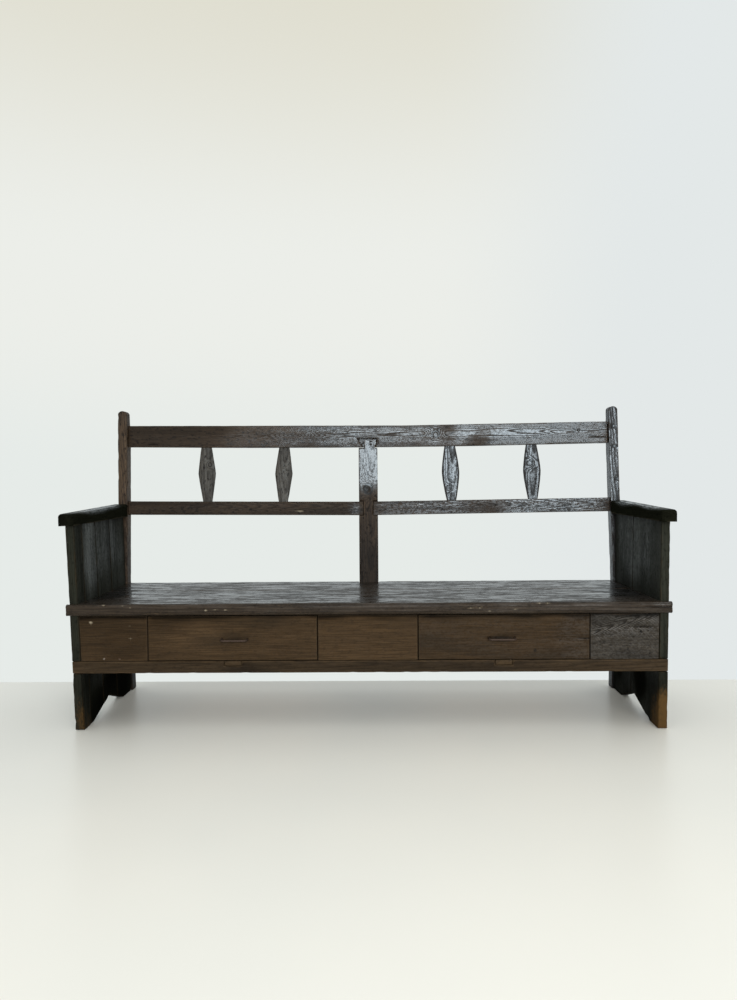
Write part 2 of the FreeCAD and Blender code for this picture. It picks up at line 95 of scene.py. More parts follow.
# Limits of the meshing, in radians and metres
FLAT_ANGLE = math.radians(1.0)
SHARP_ANGLE = math.radians(24)
SMOOTH_ANGLE = math.radians(48)
WELD = 2e-5
CUT_TOLERANCE = 1e-5
LEAST_SLICE = 0.0005
END_SLICE = 0.0008
LEAST_ARRIS = 0.004
FAR_EDGE = ((9.0, 9.0, 9.0), (9.1, 9.0, 9.0))


def on_front(x: float, z: float) -> Vector:
    """A place on the front of the box."""
    return Vector((x, FRONT_PLANE, z))


class Axis(Enum):
    """A direction of the row frame."""

    X = 0
    Y = 1
    Z = 2

    @property
    def unit(self) -> Vector:
        """The unit vector along this axis."""
        return Vector([1.0 if i == self.value else 0.0 for i in range(3)])


def screen(red: int, green: int, blue: int) -> Colour:
    """A screen colour as the linear colour a shader takes.

    Args:
        red: Red from 0 to 255.
        green: Green from 0 to 255.
        blue: Blue from 0 to 255.

    Returns:
        The linear colour with full opacity.
    """
    parts = []
    for value in (red / 255, green / 255, blue / 255):
        low = value / 12.92
        high = ((value + 0.055) / 1.055) ** 2.4
        parts.append(low if value <= 0.04045 else high)
    return (parts[0], parts[1], parts[2], 1.0)


CHIP = screen(176, 164, 142)


class Tree:
    """Short calls that build a node tree: any input takes a value or a socket."""

    def __init__(self, tree: bpy.types.NodeTree) -> None:
        """Keeps the tree that the calls add to."""
        self.tree = tree

    def put(self, kind: str, inputs: dict | None = None, **settings) -> bpy.types.Node:
        """Adds a node.

        Args:
            kind: The node's type name.
            inputs: Values or sockets by input name or number.
            **settings: Properties of the node itself, set first.

        Returns:
            The new node.
        """
        node = self.tree.nodes.new(kind)
        for name, value in settings.items():
            setattr(node, name, value)
        for name, value in (inputs or {}).items():
            self.feed(node.inputs[name], value)
        return node

    def feed(self, socket: Socket, value: object) -> None:
        """Links a socket into an input, or sets the input's value."""
        if isinstance(value, bpy.types.NodeSocket):
            self.tree.links.new(value, socket)
        else:
            socket.default_value = value

    def math(self, operation: str, a: object, b: object = 0.0, c: object = 0.0) -> Socket:
        """One sum of up to three numbers or sockets."""
        node = self.put("ShaderNodeMath", {0: a, 1: b, 2: c}, operation=operation)
        return node.outputs[0]

    def vector(self, operation: str, a: object, b: object = (0.0, 0.0, 0.0)) -> Socket:
        """One vector sum of two vectors or sockets."""
        node = self.put("ShaderNodeVectorMath", {0: a, 1: b}, operation=operation)
        return node.outputs[0]

    def length(self, vector: Socket) -> Socket:
        """The length of a vector."""
        node = self.put("ShaderNodeVectorMath", {0: vector}, operation="LENGTH")
        return node.outputs["Value"]

    def scale(self, vector: Socket, share: Socket) -> Socket:
        """A vector or a colour times a number."""
        node = self.put("ShaderNodeVectorMath", {0: vector, "Scale": share}, operation="SCALE")
        return node.outputs[0]

    def split(self, vector: Socket) -> list[Socket]:
        """The three parts of a vector."""
        return list(self.put("ShaderNodeSeparateXYZ", {0: vector}).outputs)

    def join(self, x: object, y: object, z: object) -> Socket:
        """A vector from three parts."""
        return self.put("ShaderNodeCombineXYZ", {0: x, 1: y, 2: z}).outputs[0]

    def noise(
        self, vector: Socket, stretch: tuple[float, float, float], detail: float = 2.0,
        rough: float = 0.5, seed: object = 0.0,
    ) -> bpy.types.Node:
        """Noise whose size differs along the three directions.

        Args:
            vector: Place in metres.
            stretch: Features to the metre along X, Y and Z.
            detail: Octaves.
            rough: Weight of the finer octaves.
            seed: Number that picks another pattern.

        Returns:
            The noise node.
        """
        place = self.vector("MULTIPLY", vector, stretch)
        inputs = {"Vector": place, "W": seed, "Scale": 1.0, "Detail": detail, "Roughness": rough}
        return self.put("ShaderNodeTexNoise", inputs, noise_dimensions="4D")

    def smooth(self, value: Socket, low: object, high: object) -> Socket:
        """0 below low, 1 above high, with a soft step between."""
        inputs = {"Value": value, "From Min": low, "From Max": high}
        return self.put("ShaderNodeMapRange", inputs, interpolation_type="SMOOTHSTEP").outputs[0]

    def spread(self, value: Socket, low: object, high: object) -> Socket:
        """A 0 to 1 value spread between two others."""
        inputs = {"Value": value, "To Min": low, "To Max": high}
        return self.put("ShaderNodeMapRange", inputs).outputs[0]

    def tint(self, share: object, a: object, b: object) -> Socket:
        """Colour a changed to colour b by a share."""
        node = self.put("ShaderNodeMix", data_type="RGBA")
        for index, value in ((0, share), (6, a), (7, b)):
            self.feed(node.inputs[index], value)
        return node.outputs[2]

    def attribute(self, name: str) -> Socket:
        """A number stored on the mesh."""
        return self.put("ShaderNodeAttribute", attribute_name=name).outputs["Fac"]


def blank(name: str) -> tuple[bpy.types.Material, Tree]:
    """A new material and its empty tree."""
    made = bpy.data.materials.new(name)
    made.use_nodes = True
    made.node_tree.nodes.clear()
    return made, Tree(made.node_tree)


def placed(name: str, data: bpy.types.ID) -> bpy.types.Object:
    """A new object of the data, in the scene."""
    made = bpy.data.objects.new(name, data)
    bpy.context.scene.collection.objects.link(made)
    return made


@dataclass(frozen=True)
class Knot:
    """A knot in a board: its place along and across the board from its middle, and its radius."""

    along: float
    across: float
    radius: float


@dataclass(frozen=True)
class Cut:
    """How a board was sawn from the log.

    Heart is the place of the log's heart, across the face and behind it, at the board's middle.
    Slope is how far the heart moves across and behind for each metre of length. Lift is how fast
    it draws away from the face within the reach of the crest, a place along the board.
    """

    grain: Axis
    width: Axis
    heart: tuple[float, float] = (0.01, 0.055)
    slope: tuple[float, float] = (0.004, 0.03)
    seed: float = 0.0
    knot: Knot | None = None
    lift: float = 0.0
    crest: float = 0.0
    reach: float = 0.135

    def turn(self) -> Matrix:
        """The turn from the row frame to the board's own: X with the grain, Y across its face."""
        grain, width = self.grain.unit, self.width.unit
        return Matrix((grain, width, grain.cross(width)))


@dataclass(frozen=True)
class Grain:
    """The values from which a finish makes its colour, gloss and relief."""

    late: Socket
    rim: Socket
    core: Socket
    fibre: Socket
    streak: Socket
    patch: Socket
    grit: Socket
    blotch: Socket
    pit: Socket


@dataclass(frozen=True)
class Pine:
    """Old pine under dark varnish: colours, ring pattern, gloss and relief.

    Varnish is the share of whole varnish before the patches on the mesh add to it, dull and
    shiny the roughness without and with it, matt the share of gloss left where it is gone, and
    bloom the tint of its sheen. Edge darkening darkens the very edges of a board. Run and drift
    are the streaks to the metre along and across the grain.
    """

    name: str
    slot: str
    early: Colour
    late: Colour
    glaze: Colour
    bare: Colour
    contrast: float = 0.75
    ring: float = 0.0052
    line: float = 0.35
    wander: float = 0.016
    glaze_share: float = 0.45
    wear: float = 0.4
    edge_darkening: float = 0.0
    varnish: float = 0.3
    shiny: float = 0.2
    dull: float = 0.6
    gloss: float = 0.55
    relief: float = 0.5
    mottle: float = 0.5
    pits: float = 0.5
    fibre: float = 0.35
    run: float = 2.2
    drift: float = 60.0
    skin: float = 0.0005
    cloud: float = 0.4
    fade: float = 0.5
    speckle: float = 0.7
    matt: float = 0.15
    bloom: Colour = (0.74, 0.88, 1.0, 1.0)

    def group(self) -> bpy.types.NodeTree:
        """The finish as a node group, built once.

        Returns:
            A group that takes a place in the board's own frame and gives what the shader needs.
        """
        found = bpy.data.node_groups.get(self.name)
        if found:
            return found
        tree = bpy.data.node_groups.new(self.name, "ShaderNodeTree")
        face = tree.interface
        face.new_socket("Place", in_out="INPUT", socket_type="NodeSocketVector")
        for name in ("Heart Across", "Heart Behind", "Slope Across", "Slope Behind", "Seed",
                     "Knot Along", "Knot Across", "Knot Radius", "Lift", "Lift From", "Lift To"):
            face.new_socket(name, in_out="INPUT", socket_type="NodeSocketFloat")
        for name, kind in (("Color", "Color"), ("Roughness", "Float"), ("Specular", "Float"),
                           ("Normal", "Vector")):
            face.new_socket(name, in_out="OUTPUT", socket_type="NodeSocket" + kind)
        t = Tree(tree)
        given = t.put("NodeGroupInput").outputs
        place, seed = given["Place"], given["Seed"]

        def pattern(
            stretch: tuple[float, float, float], detail: float, rough: float, shift: float,
        ) -> Socket:
            """Noise on the board, another one for each shift of its seed."""
            return t.noise(place, stretch, detail, rough, t.math("ADD", seed, shift)).outputs[0]

        grain = Grain(
            *self.rings(t, given),
            fibre=pattern((9, 330, 330), 3, 0.6, 0.0),
            streak=pattern((self.run, self.drift, self.drift), 3, 0.6, 3.1),
            patch=pattern((2.6, 9, 9), 4, 0.55, 7.7),
            grit=pattern((110, 210, 210), 3, 0.6, 1.3),
            blotch=pattern((26, 60, 60), 3, 0.55, 5.9),
            pit=t.smooth(pattern((70, 150, 150), 3, 0.6, 9.4), 0.52, 0.66),
        )
        share = self.whole(t, grain)
        result = t.put("NodeGroupOutput")
        t.feed(result.inputs["Color"], self.colour(t, grain))
        rough = t.spread(share, self.dull, self.shiny)
        t.feed(result.inputs["Roughness"], t.math("MULTIPLY_ADD", grain.pit, 0.12, rough))
        t.feed(result.inputs["Specular"], t.spread(share, self.matt * self.gloss, self.gloss))
        t.feed(result.inputs["Normal"], self.normal(t, grain))
        return tree

    def rings(self, t: Tree, given: object) -> tuple[Socket, Socket, Socket]:
        """The year rings, bent round the knot.

        Args:
            t: The group's tree.
            given: The group's inputs.

        Returns:
            How far each place is late wood, the dark rim of the knot, and its heart.
        """
        place, seed = given["Place"], given["Seed"]
        bend = t.noise(place, (1.4, 7, 7), 3, 0.5, seed).outputs["Color"]
        bend = t.vector("SUBTRACT", bend, (0.5, 0.5, 0.5))
        jag = t.noise(place, (16, 90, 90), 2, 0.5, t.math("ADD", seed, 2.2)).outputs[0]
        x, y, z = t.split(place)
        sway = t.noise(place, (7, 26, 26), 2, 0.5, t.math("ADD", seed, 8.8)).outputs["Color"]
        sway = t.vector("SUBTRACT", sway, (0.5, 0.5, 0.5))
        bend = t.vector("ADD", bend, t.vector("MULTIPLY", sway, (0.25, 0.25, 0.25)))
        bend_y, bend_z, _ = t.split(bend)
        across = t.math("SUBTRACT", t.math("MULTIPLY_ADD", bend_y, self.wander, y),
                        t.math("MULTIPLY_ADD", x, given["Slope Across"], given["Heart Across"]))
        behind = t.math("SUBTRACT", t.math("MULTIPLY_ADD", bend_z, self.wander, z),
                        t.math("MULTIPLY_ADD", x, given["Slope Behind"], given["Heart Behind"]))
        away = t.smooth(x, given["Lift From"], given["Lift To"])
        behind = t.math("SUBTRACT", behind, t.math("MULTIPLY", away, given["Lift"]))
        reach = t.length(t.join(0.0, across, behind))
        radius = t.math("MAXIMUM", given["Knot Radius"], 0.0001)
        along = t.math("DIVIDE", t.math("SUBTRACT", x, given["Knot Along"]), radius)
        over = t.math("DIVIDE", t.math("SUBTRACT", y, given["Knot Across"]), radius)
        flat = t.join(t.math("MULTIPLY", along, 0.8), over, 0.0)
        gap = t.length(flat)
        swell = t.math("EXPONENT", t.math("MULTIPLY", t.math("MULTIPLY", gap, gap), -0.35))
        reach = t.math("MULTIPLY_ADD", t.math("MULTIPLY", swell, given["Knot Radius"]), 1.3, reach)
        reach = t.math("MULTIPLY_ADD", t.math("SUBTRACT", jag, 0.5), 0.0016, reach)
        part = t.math("FRACT", t.math("DIVIDE", reach, self.ring))
        late = t.math("MULTIPLY", t.smooth(part, self.line, 0.86),
                      t.math("SUBTRACT", 1.0, t.smooth(part, 0.92, 1.0)))
        real = t.math("GREATER_THAN", given["Knot Radius"], 0.001)
        core = t.math("SUBTRACT", 1.0, t.smooth(gap, 0.55, 0.8))
        rim = t.math("MULTIPLY", t.smooth(gap, 0.6, 0.85),
                     t.math("SUBTRACT", 1.0, t.smooth(gap, 0.95, 1.25)))
        return late, t.math("MULTIPLY", rim, real), t.math("MULTIPLY", core, real)

    def whole(self, t: Tree, grain: Grain) -> Socket:
        """How whole the varnish is: the finish's share and the mesh's patches, broken up."""
        share = t.math("ADD", t.attribute(SHEEN), self.varnish)
        mixed = t.math("MULTIPLY_ADD", grain.streak, 0.7, t.math("MULTIPLY", grain.blotch, 0.3))
        broken = t.spread(t.smooth(mixed, 0.42, 0.56), 1.1, 1.1 - self.fade)
        crisp = t.spread(t.smooth(grain.grit, 0.47, 0.58), 1.0, 1.0 - self.speckle)
        lines = t.spread(grain.late, 1.0, 1.0 - 0.75 * min(1.0, self.relief))
        share = t.math("MULTIPLY", share, broken)
        return t.math("MULTIPLY", share, t.math("MULTIPLY", crisp, lines))

    def colour(self, t: Tree, grain: Grain) -> Socket:
        """The colour: rings, fibres, dirty varnish, knots, darker edges, worn edges and bare chips,
        with the mesh's tone, which holds painted shade and painted highlight as well as stains.

        Args:
            t: The group's tree.
            grain: The grain's values.

        Returns:
            The colour socket.
        """
        wood = t.tint(t.math("MULTIPLY", grain.late, self.contrast), self.early, self.late)
        darker = t.spread(t.smooth(grain.fibre, 0.35, 0.62), 1.0 - 0.8 * self.fibre, 1.08)
        # The mesh's tone: stains and knots, and the painted shade and painted highlight of some
        # patches
        darker = t.math("MULTIPLY", darker, t.math("ADD", t.attribute(TONE), 1.0))
        wood = t.scale(wood, darker)
        streaks = t.math("MULTIPLY", t.smooth(grain.streak, 0.42, 0.68), self.glaze_share)
        wood = t.tint(streaks, wood, self.glaze)
        patches = t.math("MULTIPLY", t.smooth(grain.patch, 0.46, 0.72), self.cloud)
        wood = t.tint(patches, wood, self.glaze)
        wood = t.tint(t.math("MULTIPLY", grain.pit, self.pits), wood, self.glaze)
        wood = t.tint(t.math("MULTIPLY", grain.rim, 0.85), wood, self.glaze)
        wood = t.tint(t.math("MULTIPLY", grain.core, 0.3), wood, self.late)
        flecks = t.math("MULTIPLY", t.smooth(grain.grit, 0.69, 0.75), self.wear)
        wood = t.tint(flecks, wood, self.bare)
        edge = t.attribute(EDGE)
        ragged = t.math("MULTIPLY_ADD", t.math("SUBTRACT", grain.blotch, 0.5), 0.55, edge)
        worn = t.math("MULTIPLY", t.smooth(ragged, 0.72, 1.0), self.wear)
        wood = t.tint(worn, wood, self.bare)
        wood = t.tint(t.math("MULTIPLY", t.smooth(edge, 0.80, 0.95), self.edge_darkening), wood, self.glaze)
        torn = t.math("MULTIPLY_ADD", t.math("SUBTRACT", grain.streak, 0.5), 1.1, t.attribute(WORN))
        torn = t.math("MULTIPLY_ADD", t.math("SUBTRACT", grain.grit, 0.5), 0.9, torn)
        wood = t.tint(t.math("MULTIPLY", t.smooth(torn, 0.3, 0.9), 0.85), wood, self.bare)
        return t.tint(t.attribute(BARE), wood, CHIP)

    def normal(self, t: Tree, grain: Grain) -> Socket:
        """Raised late wood, fibres, pits, and the lumpy skin of old varnish.

        Args:
            t: The group's tree.
            grain: The grain's values.

        Returns:
            The normal socket.
        """
        high = t.math("MULTIPLY", grain.fibre, self.fibre)
        high = t.math("MULTIPLY_ADD", grain.late, self.relief, high)
        high = t.math("MULTIPLY_ADD", grain.grit, self.mottle, high)
        high = t.math("MULTIPLY_ADD", grain.blotch, self.mottle * 0.7, high)
        high = t.math("MULTIPLY_ADD", grain.pit, -0.6 * self.pits, high)
        high = t.math("MULTIPLY_ADD", grain.rim, -1.2, high)
        bump = t.put("ShaderNodeBump", {"Height": high, "Strength": 1.0, "Distance": self.skin})
        return bump.outputs[0]

    def material(self, name: str, cut: Cut, middle: Vector) -> bpy.types.Material:
        """The finish on one board.

        Args:
            name: The board's name.
            cut: How the board was sawn.
            middle: The board's middle in the row frame.

        Returns:
            A new material.
        """
        made, t = blank(self.name + "." + name)
        turn = cut.turn()
        where = t.put("ShaderNodeTexCoord").outputs["Object"]
        own = t.put("ShaderNodeMapping", {
            "Vector": where, "Location": -(turn @ middle), "Rotation": turn.to_euler(),
        })
        group = t.put("ShaderNodeGroup", node_tree=self.group())
        t.feed(group.inputs["Place"], own.outputs[0])
        knot = cut.knot or Knot(0.0, 0.0, 0.0)
        values = (*cut.heart, *cut.slope, cut.seed, knot.along, knot.across, knot.radius,
                  2 * cut.lift * cut.reach, cut.crest - cut.reach, cut.crest + cut.reach)
        for socket, value in zip(list(group.inputs)[1:], values):
            socket.default_value = value
        shader = t.put("ShaderNodeBsdfPrincipled", {
            "Base Color": group.outputs["Color"], "Roughness": group.outputs["Roughness"],
            "Normal": group.outputs["Normal"], "Specular IOR Level": group.outputs["Specular"],
            "Specular Tint": self.bloom,
        })
        t.put("ShaderNodeOutputMaterial", {"Surface": shader.outputs[0]})
        return made


FRAME_PINE = Pine(
    "frame_pine", "frame_wood", screen(66, 53, 40), screen(34, 26, 19), screen(22, 17, 13),
    screen(104, 86, 66), contrast=0.6, ring=0.0034, glaze_share=0.4, mottle=1.3, varnish=0.12,
    wear=0.3, shiny=0.20, gloss=1.0, skin=0.00035, relief=0.7,
    edge_darkening=0.6, pits=0.8,
)
RAIL_TOP_PINE = replace(
    FRAME_PINE, name="rail_top_pine", line=0.45, relief=1.2, ring=0.003, contrast=0.35,
    wander=0.03, mottle=0.8, glaze_share=0.3, speckle=0.4,
)
CENTRE_PINE = replace(FRAME_PINE, name="centre_pine", speckle=0.35, fade=0.25,
                      mottle=0.6, relief=0.35, varnish=0.05)
SPLAT_PINE = replace(
    FRAME_PINE, name="splat_pine", early=screen(84, 80, 74), late=screen(44, 39, 35), varnish=0.3,
)
SHINY_PINE = replace(
    FRAME_PINE, name="shiny_pine", early=screen(50, 43, 38), late=screen(26, 22, 20),
    varnish=1.35, mottle=1.0, relief=0.9, pits=0.9, speckle=0.5,
)
END_PINE = Pine(
    "end_pine", "end_wood", screen(38, 39, 33), screen(22, 23, 19), screen(14, 15, 12),
    screen(88, 66, 38), contrast=0.35, glaze_share=0.45, dull=0.6, shiny=0.35, gloss=0.14,
    mottle=0.6, fibre=0.15, varnish=0.2, wear=0.2, edge_darkening=1.0, matt=0.0, run=1.6, drift=16.0,
    speckle=0.4,
)
ARM_PINE = replace(
    END_PINE, name="arm_pine", early=screen(26, 27, 20), late=screen(8, 8, 6),
    glaze=screen(5, 5, 4), bare=screen(90, 84, 70), edge_darkening=0.0, wear=0.3, varnish=0.0,
    gloss=0.5, shiny=0.2, speckle=0.8, mottle=1.0,
)
SEAT_PINE = Pine(
    "seat_pine", "seat_wood", screen(46, 38, 30), screen(20, 16, 13), screen(12, 10, 8),
    screen(104, 88, 68), contrast=0.5, edge_darkening=0.4, glaze_share=0.35, shiny=0.06, dull=0.55,
    gloss=0.6, mottle=0.5, varnish=1.05, wear=0.3, pits=0.4, run=7.0, skin=0.0002, fade=0.85,
    speckle=0.3, matt=0.2, bloom=PLAIN_SHEEN,
)
FRONT_PINE = Pine(
    "front_pine", "front_wood", screen(73, 57, 39), screen(54, 41, 27), screen(38, 32, 25),
    screen(130, 106, 76), contrast=0.22, glaze_share=0.25, shiny=0.35, dull=0.65, gloss=0.25,
    relief=0.3, mottle=0.5, ring=0.0024, wander=0.012, wear=0.10, edge_darkening=0.8, varnish=0.25,
    pits=0.3, fibre=0.45, cloud=0.75, bloom=PLAIN_SHEEN,
)
RAIL_PINE = replace(
    FRONT_PINE, name="rail_pine", slot="frame_wood", early=screen(64, 52, 38),
    late=screen(40, 32, 23), glaze=screen(30, 24, 18), ring=0.0034, edge_darkening=0.3, wear=0.2,
    contrast=0.4,
)
GREY_PINE = replace(
    FRONT_PINE, name="grey_pine", early=screen(66, 60, 52), late=screen(30, 26, 22),
    glaze=screen(24, 22, 20), relief=1.3, mottle=0.8, ring=0.0040, contrast=0.85, varnish=0.6,
    gloss=0.5, pits=0.6, speckle=0.8,
)
CASE_PINE = Pine(
    "case_pine", "case_wood", screen(70, 54, 40), screen(46, 35, 26), screen(32, 26, 22),
    screen(110, 88, 64), shiny=0.5, dull=0.75, gloss=0.25, mottle=0.3, wear=0.2, varnish=0.1,
)
BOX_PINE = Pine(
    "box_pine", "drawer_box_wood", screen(176, 138, 92), screen(134, 96, 58), screen(96, 72, 48),
    screen(196, 164, 120), contrast=0.5, glaze_share=0.25, shiny=0.55, dull=0.75, gloss=0.3,
    relief=0.3, mottle=0.2, wear=0.2, varnish=0.0, pits=0.1,
)


@dataclass(frozen=True)
class Iron:
    """Hand-forged iron, brown with handling and a little rust."""

    name: str
    slot: str
    metal: Colour
    rust: Colour
    metallic: float = 0.8

    def material(self) -> bpy.types.Material:
        """The iron, built once.

        Returns:
            The material.
        """
        found = bpy.data.materials.get(self.name)
        if found:
            return found
        made, t = blank(self.name)
        where = t.put("ShaderNodeTexCoord").outputs["Object"]
        scale = t.noise(where, (260, 260, 260), 4, 0.6).outputs[0]
        spots = t.noise(where, (90, 90, 90), 3, 0.55, 4.0).outputs[0]
        colour = t.tint(t.smooth(spots, 0.42, 0.6), self.metal, self.rust)
        rough = t.spread(t.smooth(spots, 0.4, 0.62), 0.32, 0.62)
        high = t.math("MULTIPLY_ADD", spots, 1.5, scale)
        bump = t.put("ShaderNodeBump", {"Height": high, "Strength": 0.8, "Distance": 0.0005})
        shader = t.put("ShaderNodeBsdfPrincipled", {
            "Base Color": colour, "Roughness": rough, "Metallic": self.metallic,
            "Normal": bump.outputs[0],
        })
        t.put("ShaderNodeOutputMaterial", {"Surface": shader.outputs[0]})
        return made


PULL_IRON = Iron("pull_iron", "pull_iron", screen(158, 140, 120), screen(66, 46, 34))
NAIL_IRON = Iron("nail_iron", "pull_iron", screen(120, 112, 104), screen(74, 54, 40))


@dataclass(frozen=True)
class Crack:
    """A drying crack along the grain: where it starts and ends, and how wide and deep it is."""

    start: Vector
    end: Vector
    facing: Vector
    width: float = 0.0022
    depth: float = 0.004
    tone: float = -0.6

    def lines(self) -> list[tuple[int, float]]:
        """Places of the extra cuts that the crack needs, as axis number and coordinate."""
        axis = self.across()
        low = min(self.start[axis], self.end[axis]) - self.width
        high = max(self.start[axis], self.end[axis]) + self.width
        count = max(4, int((high - low) / (self.width * 0.5)))
        return [(axis, low + (high - low) * i / count) for i in range(count + 1)]

    def across(self) -> int:
        """The axis across the crack on its face."""
        run = [abs(v) for v in (self.end - self.start)]
        face = [abs(v) for v in self.facing]
        return min((i for i in range(3) if i != face.index(max(face))), key=lambda i: run[i])

    def at(self, place: Vector, normal: Vector) -> tuple[float, float, float]:
        """Depth, bareness and tone that the crack gives a place."""
        if normal.dot(self.facing) < 0.3:
            return 0.0, 0.0, 0.0
        run = self.end - self.start
        t = (place - self.start).dot(run) / run.length_squared
        if not 0.0 < t < 1.0:
            return 0.0, 0.0, 0.0
        off = place - (self.start + run * t)
        off -= self.facing * off.dot(self.facing)
        wobble = noise.noise(place * 60.0) * self.width * 0.6
        share = max(0.0, 1.0 - abs(off.length - abs(wobble)) / self.width)
        share *= min(1.0, 6.0 * t, 6.0 * (1.0 - t))
        return self.depth * share, 0.0, self.tone * share


@dataclass(frozen=True)
class Scar:
    """A knot or a chip: a round hollow, with a raised rim where it is a knot."""

    centre: Vector
    facing: Vector
    radius: float
    depth: float
    rim: float = 0.0
    bare: float = 0.0
    tone: float = 0.0
    long: float = 1.0

    def lines(self) -> list[tuple[int, float]]:
        """Places of the extra cuts that the scar needs, as axis number and coordinate."""
        face = [abs(v) for v in self.facing]
        skip = face.index(max(face))
        step = self.radius / 2
        return [(axis, self.centre[axis] + step * i)
                for axis in range(3) if axis != skip for i in range(-2, 3)]

    def at(self, place: Vector, normal: Vector) -> tuple[float, float, float]:
        """Depth, bareness and tone that the scar gives a place."""
        off = place - self.centre
        if normal.dot(self.facing) < 0.1 or off.length > 3 * self.radius * self.long:
            return 0.0, 0.0, 0.0
        off -= self.facing * off.dot(self.facing)
        gap = Vector((off.x / self.long, off.y, off.z)).length / self.radius
        gap += 0.35 * noise.noise(place * 90.0)
        if gap > 1.4:
            return 0.0, 0.0, 0.0
        hollow = max(0.0, 1.0 - gap * gap)
        ring = self.rim * math.exp(-((gap - 1.0) / 0.22) ** 2)
        show = max(0.0, min(1.0, 2.0 * (1.0 - gap)))
        return self.depth * hollow - ring, self.bare * show, self.tone * show


@dataclass(frozen=True)
class Patch:
    """A soft patch: its middle, its reach along each axis, and what it adds at its middle."""

    centre: Place
    reach: Place
    sheen: float = 0.0
    tone: float = 0.0
    worn: float = 0.0

    def share(self, points: np.ndarray, jitter: np.ndarray) -> np.ndarray:
        """How much of the patch each point gets, with a ragged border."""
        off = (points - np.array(self.centre)) / np.array(self.reach)
        gap = np.linalg.norm(off, axis=1) + 0.35 * jitter
        rise = np.clip(1.5 - 1.5 * gap, 0.0, 1.0)
        return rise * rise * (3.0 - 2.0 * rise)


# The shade under the seat's front edge
UNDER_SEAT = Patch((0.0, -0.247, 0.386), (9.0, 0.1, 0.022), sheen=-1.0, tone=-0.9)


@dataclass(frozen=True)
class Hewing:
    """How a board was worked and worn, in metres.

    Arris is the round of its long edges, step and rim the spacing of its mesh, ripple the depth
    of its plane marks, ease the general loss along edges, and chip the deepest bite in them.
    """

    arris: float = 0.0022
    step: float = 0.013
    across: float = 0.011
    rim: float = 0.005
    ripple: float = 0.0006
    ease: float = 0.0006
    chip: float = 0.0022
    bite: float = 34.0
    seed: float = 0.0


